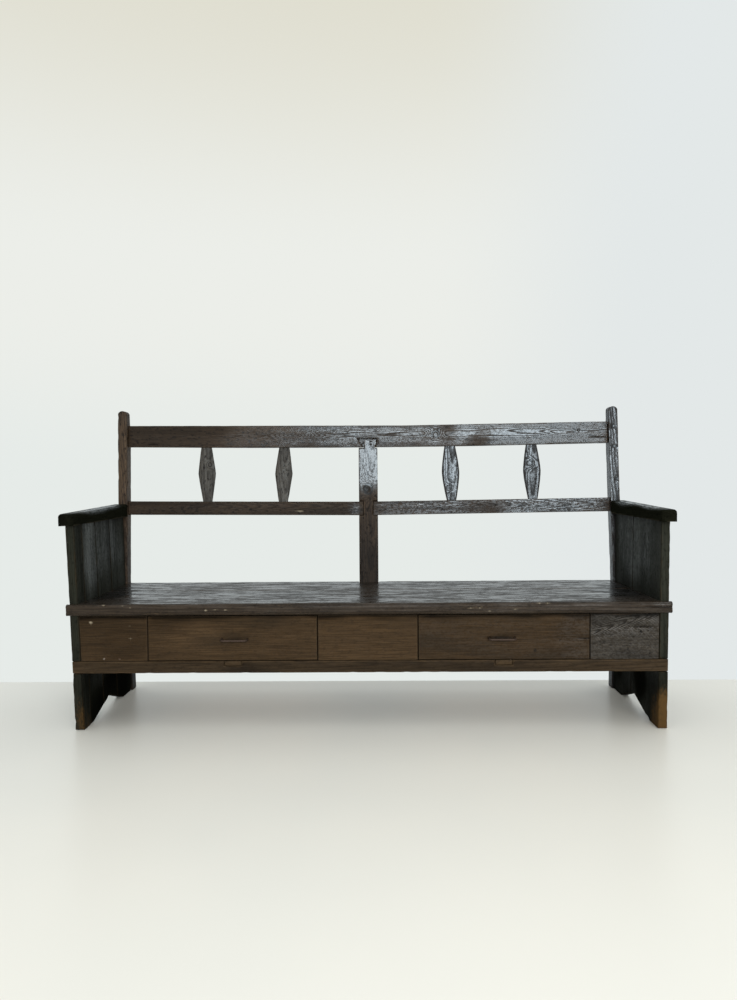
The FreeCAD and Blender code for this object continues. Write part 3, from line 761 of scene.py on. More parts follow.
@dataclass
class Board:
    """One board: its solid copied, worked over, and finished."""

    node: str
    cut: Cut
    finish: Pine
    hewing: Hewing = field(default_factory=Hewing)
    marks: tuple[Crack | Scar, ...] = ()
    patches: tuple[Patch, ...] = ()

    def build(self) -> bpy.types.Object:
        """Makes the worked copy of the solid and lets it stand for the solid.

        Returns:
            The finished object.
        """
        shape = self.copy()
        edges = self.arrises(shape)
        self.round_over(shape)
        self.slice(shape)
        stains = self.wear(shape, edges)
        mesh = bpy.data.meshes.new(self.node + "_worn")
        shape.to_mesh(mesh)
        shape.free()
        self.store(mesh, edges, stains)
        mesh.shade_smooth()
        mesh.set_sharp_from_angle(angle=SMOOTH_ANGLE)
        piece = placed(self.node + "_worn", mesh)
        low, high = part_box(self.node)
        mesh.materials.append(self.finish.material(self.node, self.cut, (low + high) / 2))
        return settle(piece, self.finish.slot, self.node)

    def copy(self) -> bmesh.types.BMesh:
        """The solid's mesh with its loose triangles joined to whole faces."""
        shape = bmesh.new()
        shape.from_mesh(frame["nodes"][self.node].data)
        bmesh.ops.remove_doubles(shape, verts=shape.verts, dist=WELD)
        bmesh.ops.dissolve_limit(shape, angle_limit=FLAT_ANGLE, verts=shape.verts,
                                 edges=shape.edges)
        return shape

    def arrises(self, shape: bmesh.types.BMesh) -> np.ndarray:
        """Both ends of every outer corner edge.

        Args:
            shape: The plain solid.

        Returns:
            An array of segments, each of two points.
        """
        found = [[tuple(v.co) for v in edge.verts] for edge in shape.edges
                 if sharp(edge) and edge.calc_length() > LEAST_ARRIS]
        return np.array(found or [FAR_EDGE])

    def round_over(self, shape: bmesh.types.BMesh) -> None:
        """Rounds the outer corner edges that have room for it."""
        need = 1.7 * self.hewing.arris
        chosen = []
        for edge in shape.edges:
            if not sharp(edge) or edge.calc_length() < 3 * self.hewing.arris:
                continue
            beside = [e for v in edge.verts for e in v.link_edges if e is not edge]
            if all(e.calc_length() > need for e in beside):
                chosen.append(edge)
        if chosen:
            bmesh.ops.bevel(shape, geom=chosen, offset=self.hewing.arris, segments=2,
                            profile=0.55, affect="EDGES", clamp_overlap=True)

    def slice(self, shape: bmesh.types.BMesh) -> None:
        """Cuts the faces into small ones, finer along the edges and at the marks."""
        low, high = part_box(self.node)
        own = self.hewing
        for axis in (self.cut.grain.value, *(a for a in range(3) if a != self.cut.grain.value)):
            step = own.step if axis == self.cut.grain.value else own.across
            size = high[axis] - low[axis]
            count = max(1, round(size / step))
            places = {round(low[axis] + size * i / count, 5) for i in range(1, count)}
            if size > 4 * own.rim:
                places |= {round(low[axis] + own.rim, 5), round(high[axis] - own.rim, 5)}
            for mark in self.marks:
                places |= {round(c, 5) for a, c in mark.lines() if a == axis}
            inside = sorted(p for p in places if low[axis] + END_SLICE < p < high[axis] - END_SLICE)
            slice_at(shape, axis, thinned(inside, LEAST_SLICE))

    def wear(self, shape: bmesh.types.BMesh, edges: np.ndarray) -> dict[str, list[float]]:
        """Sinks the surface by plane marks, edge wear, chips and the board's own marks.

        Args:
            shape: The sliced board.
            edges: Its outer corner edges.

        Returns:
            The bareness, tone and raggedness of each point, by name.
        """
        own = self.hewing
        shape.normal_update()
        points = np.array([v.co for v in shape.verts])
        gaps = edge_gap(points, edges)
        along = self.cut.grain.unit
        offset = Vector((own.seed, 3.1 * own.seed, 7.3 * own.seed))
        moves = []
        stains: dict[str, list[float]] = {BARE: [], TONE: [], JITTER: []}
        for vertex, gap in zip(shape.verts, gaps):
            place, normal = vertex.co, vertex.normal
            # plane marks run with the grain
            drawn = place - along * (0.72 * place.dot(along)) + offset
            wave = 0.5 + 0.5 * noise.noise(drawn * 16.0)
            close = max(0.0, 1.0 - gap / (own.rim * 1.6))
            bite = max(0.0, noise.noise(place * own.bite + offset) - 0.12) * 1.5
            jitter = noise.noise(place * 9.0 - offset)
            sink = own.ripple * wave
            sink += close * close * (own.ease * (1.0 + jitter) + own.chip * bite)
            show = shade = 0.0
            for mark in self.marks:
                deep, open_wood, tone = mark.at(place, normal)
                sink += deep
                show = max(show, open_wood)
                shade = min(shade, tone)
            moves.append(normal * max(0.0, sink))
            stains[BARE].append(show)
            stains[TONE].append(shade)
            stains[JITTER].append(jitter)
        low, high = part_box(self.node)
        for vertex, move in zip(shape.verts, moves):
            vertex.co = [min(max(c, a), b) for c, a, b in zip(vertex.co - move, low, high)]
        return stains

    def store(
        self, mesh: bpy.types.Mesh, edges: np.ndarray, stains: dict[str, list[float]]
    ) -> None:
        """Keeps on the mesh the nearness to an edge, the marks' stains and the patches.

        Args:
            mesh: The finished mesh.
            edges: The board's outer corner edges.
            stains: Values of each point, by name.
        """
        points = np.zeros(len(mesh.vertices) * 3)
        mesh.vertices.foreach_get("co", points)
        points = points.reshape(-1, 3)
        jitter = np.array(stains[JITTER])
        layers = {
            EDGE: 1.0 - np.clip(edge_gap(points, edges) / EDGE_REACH, 0.0, 1.0),
            BARE: np.array(stains[BARE]), TONE: np.array(stains[TONE]),
            SHEEN: np.zeros(len(points)), WORN: np.zeros(len(points)),
        }
        for patch in self.patches:
            share = patch.share(points, jitter)
            layers[SHEEN] += patch.sheen * share
            layers[TONE] += patch.tone * share
            layers[WORN] += patch.worn * share
        layers[TONE] = np.maximum(layers[TONE], -0.95)
        for name, values in layers.items():
            mesh.attributes.new(name, "FLOAT", "POINT").data.foreach_set("value", values)


def sharp(edge: bmesh.types.BMEdge) -> bool:
    """True for an outer corner edge."""
    return len(edge.link_faces) == 2 and edge.calc_face_angle_signed(0.0) > SHARP_ANGLE


def thinned(places: list[float], least: float) -> list[float]:
    """Sorted places, without those nearer than the least distance to the last."""
    kept: list[float] = []
    for place in places:
        if not kept or place - kept[-1] >= least:
            kept.append(place)
    return kept


def slice_at(shape: bmesh.types.BMesh, axis: int, places: list[float]) -> None:
    """Cuts a mesh at rising places along an axis.

    Args:
        shape: The mesh.
        axis: Axis number.
        places: Coordinates of the cuts, lowest first.
    """
    rest = shape.verts[:] + shape.edges[:] + shape.faces[:]
    normal = Vector([1.0 if i == axis else 0.0 for i in range(3)])
    for place in places:
        cut = bmesh.ops.bisect_plane(shape, geom=rest, plane_co=normal * place, plane_no=normal,
                                     dist=CUT_TOLERANCE)
        bound = place - CUT_TOLERANCE
        rest = []
        for item in cut["geom"]:
            if isinstance(item, bmesh.types.BMVert):
                beyond = item.co[axis] >= bound
            else:
                beyond = all(v.co[axis] >= bound for v in item.verts)
            if beyond:
                rest.append(item)


def edge_gap(points: np.ndarray, edges: np.ndarray) -> np.ndarray:
    """Distance from each point to the nearest segment.

    Args:
        points: Points, one a row.
        edges: Segments, each of two points.

    Returns:
        One distance for each point.
    """
    best = np.full(len(points), 1.0)
    for start, end in edges:
        run = end - start
        share = np.clip((points - start) @ run / (run @ run), 0.0, 1.0)
        best = np.minimum(best, np.linalg.norm(points - start - share[:, None] * run, axis=1))
    return best


def settle(piece: bpy.types.Object, slot: str, *nodes: str) -> bpy.types.Object:
    """Lets a piece ride with its nodes' body and stand for them.

    Args:
        piece: The finished object.
        slot: The record's material slot; not used.
        *nodes: The solids that it stands for.

    Returns:
        The same object.
    """
    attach(piece, frame["nodes"][nodes[0]]["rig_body"])
    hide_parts(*nodes)
    return piece


class GeometryTree(Tree):
    """A geometry tree with named inputs."""

    def __init__(self, name: str, sizes: dict[str, str]) -> None:
        """Starts a tree.

        Args:
            name: Its name.
            sizes: Socket type by input name, after the geometry.
        """
        super().__init__(bpy.data.node_groups.new(name, "GeometryNodeTree"))
        face = self.tree.interface
        face.new_socket("Geometry", in_out="INPUT", socket_type="NodeSocketGeometry")
        for label, kind in sizes.items():
            face.new_socket(label, in_out="INPUT", socket_type="NodeSocket" + kind)
        face.new_socket("Geometry", in_out="OUTPUT", socket_type="NodeSocketGeometry")
        self.given = self.put("NodeGroupInput").outputs

    def end(self, shape: Socket, material: Socket) -> None:
        """Realizes the instances, sets the material and closes the tree."""
        real = self.put("GeometryNodeRealizeInstances", {0: shape}).outputs[0]
        dressed = self.put("GeometryNodeSetMaterial", {"Geometry": real, "Material": material})
        self.put("NodeGroupOutput", {0: dressed.outputs[0]})

    def grow(self, name: str, base: bpy.types.Mesh, values: dict[str, object]) -> bpy.types.Object:
        """Runs the tree on a mesh and keeps the result as a plain mesh.

        Args:
            name: The object's name.
            base: The mesh that the tree starts from.
            values: Input values by name.

        Returns:
            An object with no modifier.
        """
        piece = placed(name, base)
        modifier = piece.modifiers.new(name, "NODES")
        modifier.node_group = self.tree
        for item in self.tree.interface.items_tree:
            if item.item_type == "SOCKET" and item.in_out == "INPUT" and item.name in values:
                modifier[item.identifier] = values[item.name]
        graph = bpy.context.evaluated_depsgraph_get()
        made = bpy.data.meshes.new_from_object(piece.evaluated_get(graph),
                                               preserve_all_data_layers=True, depsgraph=graph)
        piece.modifiers.clear()
        piece.data = made
        made.name = name
        return piece


def splat_tree() -> GeometryTree:
    """A flat splat cut by hand: widest at its waist, tapering to both ends.

    Returns:
        The tree, standing on the origin in the XZ plane.
    """
    t = GeometryTree("tapered_splat", {
        "Height": "Float", "Waist Level": "Float", "Foot Width": "Float", "Waist Width": "Float",
        "Head Width": "Float", "Thickness": "Float", "Belly": "Float", "Wobble": "Float",
        "Seed": "Float", "Material": "Material",
    })
    g = t.given
    blank = t.put("GeometryNodeMeshCube", {
        "Size": (1.0, 1.0, 1.0), "Vertices X": 13, "Vertices Y": 5, "Vertices Z": 61,
    }).outputs[0]
    u, v, w = t.split(t.put("GeometryNodeInputPosition").outputs[0])
    rise = t.math("ADD", w, 0.5)
    below = t.math("DIVIDE", rise, g["Waist Level"])
    above = t.math("DIVIDE", t.math("SUBTRACT", 1.0, rise),
                   t.math("SUBTRACT", 1.0, g["Waist Level"]))
    share = t.math("MINIMUM", below, above)
    share = t.math("MINIMUM", t.math("MAXIMUM", share, 0.0), 1.0)
    fuller = t.math("SUBTRACT", 1.0, t.math("POWER", t.math("SUBTRACT", 1.0, share), g["Belly"]))
    is_below = t.math("LESS_THAN", rise, g["Waist Level"])
    end = t.math("ADD", t.math("MULTIPLY", is_below, g["Foot Width"]),
                 t.math("MULTIPLY", t.math("SUBTRACT", 1.0, is_below), g["Head Width"]))
    width = t.math("MULTIPLY_ADD", fuller, t.math("SUBTRACT", g["Waist Width"], end), end)
    side = t.math("SIGN", u)
    rough = t.put("ShaderNodeTexNoise", {
        "Vector": t.join(t.math("MULTIPLY", side, 4.0), t.math("MULTIPLY", v, 0.6),
                         t.math("MULTIPLY", rise, 7.0)),
        "W": g["Seed"], "Scale": 1.0, "Detail": 3.0, "Roughness": 0.6,
    }, noise_dimensions="4D").outputs[0]
    reach = t.math("ABSOLUTE", t.math("MULTIPLY", u, 2.0))
    nick = t.math("MULTIPLY", t.math("MULTIPLY", rough, g["Wobble"]), t.math("POWER", reach, 3.0))
    face = t.math("ABSOLUTE", t.math("MULTIPLY", v, 2.0))
    soft = t.math("MULTIPLY_ADD", t.math("POWER", face, 4.0), -0.0022, 1.0)
    x = t.math("MULTIPLY", u, width)
    x = t.math("SUBTRACT", x, t.math("MULTIPLY", side, nick))
    x = t.math("MULTIPLY", x, t.math("MULTIPLY_ADD", t.math("POWER", face, 4.0), -0.05, 1.0))
    thin = t.math("MULTIPLY_ADD", t.math("POWER", reach, 8.0), -0.28, soft)
    y = t.math("MULTIPLY", t.math("MULTIPLY", v, g["Thickness"]), thin)
    waves = t.put("ShaderNodeTexNoise", {
        "Vector": t.join(t.math("MULTIPLY", u, 2.0), 0.0, t.math("MULTIPLY", rise, 5.0)),
        "W": t.math("ADD", g["Seed"], 9.0), "Scale": 1.0, "Detail": 2.0,
    }, noise_dimensions="4D").outputs[0]
    y = t.math("MULTIPLY", y, t.math("MULTIPLY_ADD", waves, -0.12, 1.0))
    z = t.math("MULTIPLY", rise, g["Height"])
    shaped = t.put("GeometryNodeSetPosition", {"Geometry": blank, "Position": t.join(x, y, z)})
    inward = t.math("MULTIPLY", t.math("SUBTRACT", 1.0, reach), t.math("MULTIPLY", width, 0.5))
    edge = t.math("SUBTRACT", 1.0, t.math("DIVIDE", inward, EDGE_REACH))
    kept = t.put("GeometryNodeStoreNamedAttribute", {
        "Geometry": shaped.outputs[0], "Name": EDGE, "Value": t.math("MAXIMUM", edge, 0.0),
    }, data_type="FLOAT", domain="POINT")
    smooth = t.put("GeometryNodeSetShadeSmooth", {0: kept.outputs[0]})
    t.end(smooth.outputs[0], g["Material"])
    return t


def pull_tree() -> GeometryTree:
    """A forged rod bent along a path.

    Returns:
        The tree, which sweeps the rod along the base mesh's edges.
    """
    t = GeometryTree("forged_pull", {
        "Rod Radius": "Float", "Bend Radius": "Float", "Hammering": "Float", "Seed": "Float",
        "Material": "Material",
    })
    g = t.given
    path = t.put("GeometryNodeMeshToCurve", {0: g["Geometry"]}).outputs[0]
    bent = t.put("GeometryNodeFilletCurve", {
        "Curve": path, "Count": 7, "Radius": g["Bend Radius"],
    }, mode="POLY").outputs[0]
    even = t.put("GeometryNodeResampleCurve", {"Curve": bent, "Length": 0.0016}, mode="LENGTH")
    section = t.put("GeometryNodeCurvePrimitiveCircle", {
        "Resolution": 16, "Radius": g["Rod Radius"],
    })
    swept = t.put("GeometryNodeCurveToMesh", {
        "Curve": even.outputs[0], "Profile Curve": section.outputs[0], "Fill Caps": True,
    }).outputs[0]
    place = t.put("GeometryNodeInputPosition").outputs[0]
    marks = t.put("ShaderNodeTexNoise", {
        "Vector": t.vector("MULTIPLY", place, (140.0, 220.0, 220.0)), "W": g["Seed"],
        "Scale": 1.0, "Detail": 2.0,
    }, noise_dimensions="4D").outputs[0]
    sink = t.math("MULTIPLY", t.math("SUBTRACT", marks, 0.8), g["Hammering"])
    move = t.scale(t.put("GeometryNodeInputNormal").outputs[0], sink)
    forged = t.put("GeometryNodeSetPosition", {"Geometry": swept, "Offset": move})
    smooth = t.put("GeometryNodeSetShadeSmooth", {0: forged.outputs[0]})
    t.end(smooth.outputs[0], g["Material"])
    return t


def nail_tree() -> GeometryTree:
    """Hand-made nail heads on the base mesh's points, facing the way stored on them.

    Returns:
        The tree.
    """
    t = GeometryTree("nail_heads", {
        "Head Radius": "Float", "Head Height": "Float", "Seed": "Int", "Material": "Material",
    })
    g = t.given
    dome = t.put("GeometryNodeMeshIcoSphere", {"Radius": 1.0, "Subdivisions": 3}).outputs[0]
    place = t.put("GeometryNodeInputPosition").outputs[0]
    facets = t.put("ShaderNodeTexVoronoi", {"Vector": place, "Scale": 1.3}, feature="F1").outputs[0]
    x, y, z = t.split(place)
    flat = t.math("MULTIPLY", z, t.math("MULTIPLY_ADD", facets, -0.35, 1.0))
    head = t.put("GeometryNodeSetPosition", {
        "Geometry": dome,
        "Position": t.join(t.math("MULTIPLY", x, g["Head Radius"]),
                           t.math("MULTIPLY", y, g["Head Radius"]),
                           t.math("MULTIPLY", flat, g["Head Height"])),
    }).outputs[0]
    facing = t.put("GeometryNodeInputNamedAttribute", {"Name": "facing"}, data_type="FLOAT_VECTOR")
    turned = t.put("FunctionNodeAlignRotationToVector", {"Vector": facing.outputs[0]}, axis="Z")
    size = t.put("FunctionNodeRandomValue", {2: 0.8, 3: 1.2, "Seed": g["Seed"]}, data_type="FLOAT")
    on_points = t.put("GeometryNodeInstanceOnPoints", {
        "Points": t.put("GeometryNodeMeshToPoints", {0: g["Geometry"]}).outputs[0],
        "Instance": head, "Rotation": turned.outputs[0], "Scale": size.outputs[1],
    }).outputs[0]
    t.end(on_points, g["Material"])
    return t


@dataclass
class PlankEnds:
    """The two ends of upright boards, with their arched feet."""

    left: int = 4
    right: int = 2
    hewing: Hewing = Hewing(arris=0.0026, step=0.014, across=0.011, ripple=0.0009, chip=0.0035)
    # How dark the painted shade under the seat is on the ends' inner faces
    shade_below: float = -0.85

    def build(self) -> list[bpy.types.Object]:
        """Makes both ends.

        Returns:
            One object for each board.
        """
        made = []
        for side, count in (("left", self.left), ("right", self.right)):
            for number in range(1, count + 1):
                node = f"end_{side}_board_{number}"
                seed = number + (10 if side == "left" else 20)
                cut = Cut(Axis.Z, Axis.Y, (0.03 - 0.017 * number, 0.05), (0.006, 0.02), seed)
                made.append(Board(node, cut, END_PINE, replace(self.hewing, seed=seed),
                                  patches=self.patches(side, number)).build())
        return made

    def patches(self, side: str, number: int) -> tuple[Patch, ...]:
        """Painted shade under the seat, worn toes, and painted highlight on the boards that shine.

        Args:
            side: Which end.
            number: The board's number from the front.

        Returns:
            The board's patches.
        """
        x = -0.94 if side == "left" else 0.945
        inner = x * 0.985
        # Painted shade: the inner faces darker low down, under the seat
        found = [Patch((inner, 0.05, 0.12), (0.028, 0.60, 0.36),
                       tone=self.shade_below, sheen=-0.3)]
        if number == 1:
            toe = 0.7 if side == "right" else 0.5
            found.append(Patch((x, -0.235, 0.0), (0.10, 0.10, 0.15), worn=toe))
            found.append(Patch((x, -0.25, 0.45), (0.10, 0.035, 0.50), worn=0.20,
                               tone=0.35))
        # Painted reflection: a lighter tone with the sheen on the second left board
        if side == "left" and number == 2:
            found.append(Patch((x, -0.13, 0.58), (0.06, 0.10, 0.20), sheen=1.0,
                               tone=0.4))
        # Painted highlight: a lighter tone with the sheen on the right end
        if side == "right":
            found.append(Patch((x, -0.02, 0.60), (0.06, 0.30, 0.20), sheen=0.6,
                               tone=0.45))
        if side == "left" and number > 2:
            found.append(Patch((x, 0.0, 0.60), (0.06, 0.30, 0.13), sheen=0.5))
        return tuple(found)


@dataclass
class Arms:
    """The two heavy rounded arms."""

    hewing: Hewing = Hewing(arris=0.002, step=0.012, across=0.007, ripple=0.0012, chip=0.002,
                            rim=0.009)

    def build(self) -> list[bpy.types.Object]:
        """Makes both arms.

        Returns:
            Two objects.
        """
        made = []
        for side, x, seed in (("left", -0.97, 31.0), ("right", 0.97, 32.0)):
            cut = Cut(Axis.Y, Axis.X, (0.01, 0.05), (0.01, 0.03), seed)
            top = (
                Patch((x, -0.05, 0.732), (0.06, 0.32, 0.022), sheen=1.4),
                Patch((x, -0.18, 0.726), (0.05, 0.14, 0.018), worn=0.42),
            )
            made.append(Board("arm_" + side, cut, ARM_PINE, replace(self.hewing, seed=seed),
                              patches=top).build())
        return made


@dataclass
class BackFrame:
    """Posts, rails and splats of the open back."""

    hewing: Hewing = Hewing(arris=0.0024, step=0.013, across=0.009, ripple=0.0008, chip=0.0025)
    waist_level: float = 0.52
    foot_width: float = 0.035
    waist_width: float = 0.0705
    head_width: float = 0.041
    splat_thickness: float = 0.014
    tenon_hidden: float = 0.006
    bellies: tuple[float, float, float, float] = (1.12, 1.1, 1.45, 1.35)
    wobble: float = 0.0018
    knots: tuple[Knot | None, ...] = (
        Knot(0.04, 0.012, 0.007), None, Knot(-0.055, -0.004, 0.008), Knot(0.035, -0.006, 0.010),
    )

    def build(self) -> list[bpy.types.Object]:
        """Makes the whole back.

        Returns:
            One object for each piece.
        """
        made = [self.post("left", FRAME_PINE, 41.0), self.post("right", SHINY_PINE, 42.0)]
        made += [self.centre_post(), self.top_rail()]
        made += [self.mid_rail("left", 45.0), self.mid_rail("right", 46.0)]
        return made + self.splats()

    def post(self, side: str, finish: Pine, seed: float) -> bpy.types.Object:
        """One end post.

        Args:
            side: Which side.
            finish: Its finish.
            seed: Number of its grain and wear.

        Returns:
            The post.
        """
        cut = Cut(Axis.Z, Axis.X, (0.008, 0.03), (0.01, 0.012), seed)
        x = -0.95 if side == "left" else 0.95
        # Painted shade: the post darker low down, under the seat
        patches = [Patch((x, 0.2, 0.12), (0.1, 0.1, 0.22), tone=-0.8, sheen=-0.9)]
        marks: tuple[Scar, ...] = ()
        if side == "right":
            patches.append(Patch((x, 0.25, 1.08), (0.1, 0.1, 0.06), sheen=-0.4))
            patches.append(Patch((x, 0.22, 0.86), (0.1, 0.1, 0.14), sheen=0.6))
            marks = (
                Scar(Vector((0.966, 0.2246, 0.8144)), RAKED, 0.009, 0.002, tone=-0.7),
                Scar(Vector((0.956, 0.2314, 1.0206)), RAKED, 0.010, 0.003, tone=-0.7),
                Scar(Vector((0.959, 0.2288, 0.9428)), RAKED, 0.008, 0.002, tone=-0.7, long=2.0),
            )
        else:
            patches.append(Patch((x, 0.22, 0.90), (0.1, 0.15, 0.35), tone=0.8,
                                 worn=0.15))
        return Board("post_" + side, cut, finish, replace(self.hewing, seed=seed), marks,
                     tuple(patches)).build()

    def centre_post(self) -> bpy.types.Object:
        """The centre post: a knot between the rails, two nail holes in its tongue.

        Returns:
            The post.
        """
        cut = Cut(Axis.Z, Axis.X, (0.012, 0.045), (0.004, 0.02), 43.0,
                  Knot(0.2, 0.0, 0.017))
        marks = (
            Scar(Vector((-0.0057, 0.2353, 0.7834)), RAKED, 0.017, 0.0045, rim=0.0016, tone=-0.55),
            Scar(Vector((0.0118, 0.2414, 0.9697)), RAKED, 0.0026, 0.003, tone=-0.9),
            Scar(Vector((0.0118, 0.2410, 0.9580)), RAKED, 0.0026, 0.003, tone=-0.9),
        )
        patches = (
            Patch((0.0, 0.235, 0.89), (0.2, 0.2, 0.17), sheen=1.25),
            # Painted shade: the post darker where it meets the seat
            Patch((0.0, 0.2, 0.42), (0.2, 0.2, 0.25), tone=-0.4),
        )
        return Board("post_centre", cut, CENTRE_PINE, replace(self.hewing, seed=43.0), marks,
                     patches).build()

    def top_rail(self) -> bpy.types.Object:
        """The deep top rail: arched grain, matte on the left, glossy on the right.

        Returns:
            The rail.
        """
        cut = Cut(Axis.X, Axis.Z, (0.004, 0.034), (0.004, 0.010), 44.0, Knot(0.27, 0.002, 0.013),
                  lift=-0.17, crest=-0.27)
        marks = (
            Scar(Vector((0.8276, 0.2429, 1.0071)), RAKED, 0.006, 0.003, tone=-0.8),
            Crack(Vector((0.8702, 0.242, 0.9794)), Vector((0.9402, 0.242, 0.9787)), RAKED),
            Crack(Vector((-0.8706, 0.241, 0.9661)), Vector((-0.8310, 0.241, 0.9657)), RAKED,
                  0.003),
        )
        patches = (
            # The sheen is the varnish's own; the lighter tone with it is a painted highlight
            Patch((-0.38, 0.245, 0.99), (0.24, 0.2, 0.3), sheen=0.6, tone=0.3),
            Patch((0.02, 0.245, 0.99), (0.42, 0.2, 0.3), sheen=1.0),
            Patch((0.72, 0.245, 0.99), (0.42, 0.2, 0.3), sheen=1.9),
            Patch((0.45, 0.245, 0.99), (0.10, 0.2, 0.3), sheen=-0.3),
            Patch((-0.88, 0.245, 0.99), (0.30, 0.2, 0.3), tone=-0.25),
        )
        return Board("top_rail", cut, RAIL_TOP_PINE, replace(self.hewing, seed=44.0), marks,
                     patches).build()

    def mid_rail(self, side: str, seed: float) -> bpy.types.Object:
        """One half of the thin middle rail.

        Args:
            side: Which half.
            seed: Number of its grain and wear.

        Returns:
            The rail.
        """
        cut = Cut(Axis.X, Axis.Z, (0.01, 0.03), (0.006, 0.05), seed)
        marks: tuple[Scar, ...] = ()
        if side == "left":
            chip = Vector((-0.266, 0.2325, 0.699))
            marks = (Scar(chip, RAKED, 0.004, 0.001, bare=0.45, long=3.0),)
            patches = (
                Patch((-0.052, 0.232, 0.706), (0.022, 0.1, 0.03), sheen=0.9),
            )
        else:
            patches = (Patch((0.25, 0.232, 0.71), (0.34, 0.1, 0.2), sheen=0.7),
                       Patch((0.74, 0.232, 0.71), (0.28, 0.1, 0.2), sheen=1.5))
        return Board("mid_rail_" + side, cut, FRAME_PINE, replace(self.hewing, seed=seed), marks,
                     patches).build()

    def splats(self) -> list[bpy.types.Object]:
        """The four splats, each in the lean of its solid.

        Returns:
            Four objects.
        """
        tree, made = splat_tree(), []
        for number, belly in enumerate(self.bellies, 1):
            node = f"splat_{number}"
            low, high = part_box(node)
            foot, head = self.middle_at(node, low.z), self.middle_at(node, high.z)
            finish = SPLAT_PINE if number < 3 else SHINY_PINE
            cut = Cut(Axis.Z, Axis.X, (0.006, 0.05), (0.01, 0.03), 50.0 + number,
                      self.knots[number - 1])
            middle = (low + high) / 2
            piece = tree.grow(node + "_worn", bpy.data.meshes.new(node + "_blank"), {
                "Height": (head - foot).length - 2 * self.tenon_hidden,
                "Waist Level": self.waist_level, "Foot Width": self.foot_width,
                "Waist Width": self.waist_width, "Head Width": self.head_width,
                "Thickness": self.splat_thickness, "Belly": belly, "Wobble": self.wobble,
                "Seed": 3.0 * number, "Material": finish.material(node, cut, middle),
            })
            rise = (head - foot).normalized()
            back = rise.cross(Axis.X.unit).normalized()
            lean = Matrix((back.cross(rise), back, rise)).transposed().to_4x4()
            piece.data.transform(Matrix.Translation(foot + rise * self.tenon_hidden) @ lean)
            made.append(settle(piece, finish.slot, node))
        return made

    @staticmethod
    def middle_at(node: str, level: float) -> Vector:
        """The middle of a solid's points at a level, within a millimetre."""
        points = [v.co for v in frame["nodes"][node].data.vertices if abs(v.co.z - level) < 0.001]
        return sum(points, Vector()) / max(1, len(points))


@dataclass
class Seat:
    """The two seat boards, polished by use."""

    hewing: Hewing = Hewing(arris=0.0018, step=0.013, across=0.012, ripple=0.0012, chip=0.0030,
                            ease=0.0008, rim=0.006)
    chips: tuple[tuple[float, float, float], ...] = (
        (-0.8605, 0.419, 0.004), (-0.7981, 0.416, 0.003), (-0.7720, 0.409, 0.003),
        (-0.5245, 0.399, 0.006), (-0.4934, 0.401, 0.003), (-0.4607, 0.400, 0.003),
        (0.3396, 0.402, 0.003), (0.3687, 0.402, 0.004), (0.4010, 0.392, 0.003),
        (0.4818, 0.398, 0.003), (0.5625, 0.418, 0.005), (0.5883, 0.418, 0.004),
    )

    def build(self) -> list[bpy.types.Object]:
        """Makes both boards.

        Returns:
            Two objects.
        """
        front = Cut(Axis.X, Axis.Y, (0.02, -0.09), (0.01, 0.01), 61.0)
        rear = Cut(Axis.X, Axis.Y, (-0.03, -0.08), (0.01, 0.012), 62.0)
        ahead = Vector((0.0, -1.0, 0.3)).normalized()
        marks: list[Crack | Scar] = [
            Scar(Vector((x, -0.2605, z)), ahead, 0.6 * size, 0.0012, bare=0.5, long=1.4)
            for x, z, size in self.chips
        ]
        marks.append(Crack(Vector((0.90, -0.261, 0.403)), Vector((0.992, -0.261, 0.402)),
                           AHEAD, 0.0035, 0.005))
        # Painted shade and a painted dark reflection of the ends: the seat darker at both ends
        ends = tuple(Patch((x, -0.02, 0.42), (0.13, 0.25, 0.04), tone=-0.85,
                           sheen=0.3) for x in (-0.91, 0.91))
        nosing = Patch((-0.45, -0.262, 0.40), (2.4, 0.02, 0.05), tone=0.5,
                       sheen=-0.8, worn=0.22)
        return [
            Board("seat_board_front", front, SEAT_PINE, replace(self.hewing, seed=61.0),
                  tuple(marks), (*ends, nosing)).build(),
            Board("seat_board_rear", rear, SEAT_PINE, replace(self.hewing, seed=62.0),
                  patches=ends).build(),
        ]


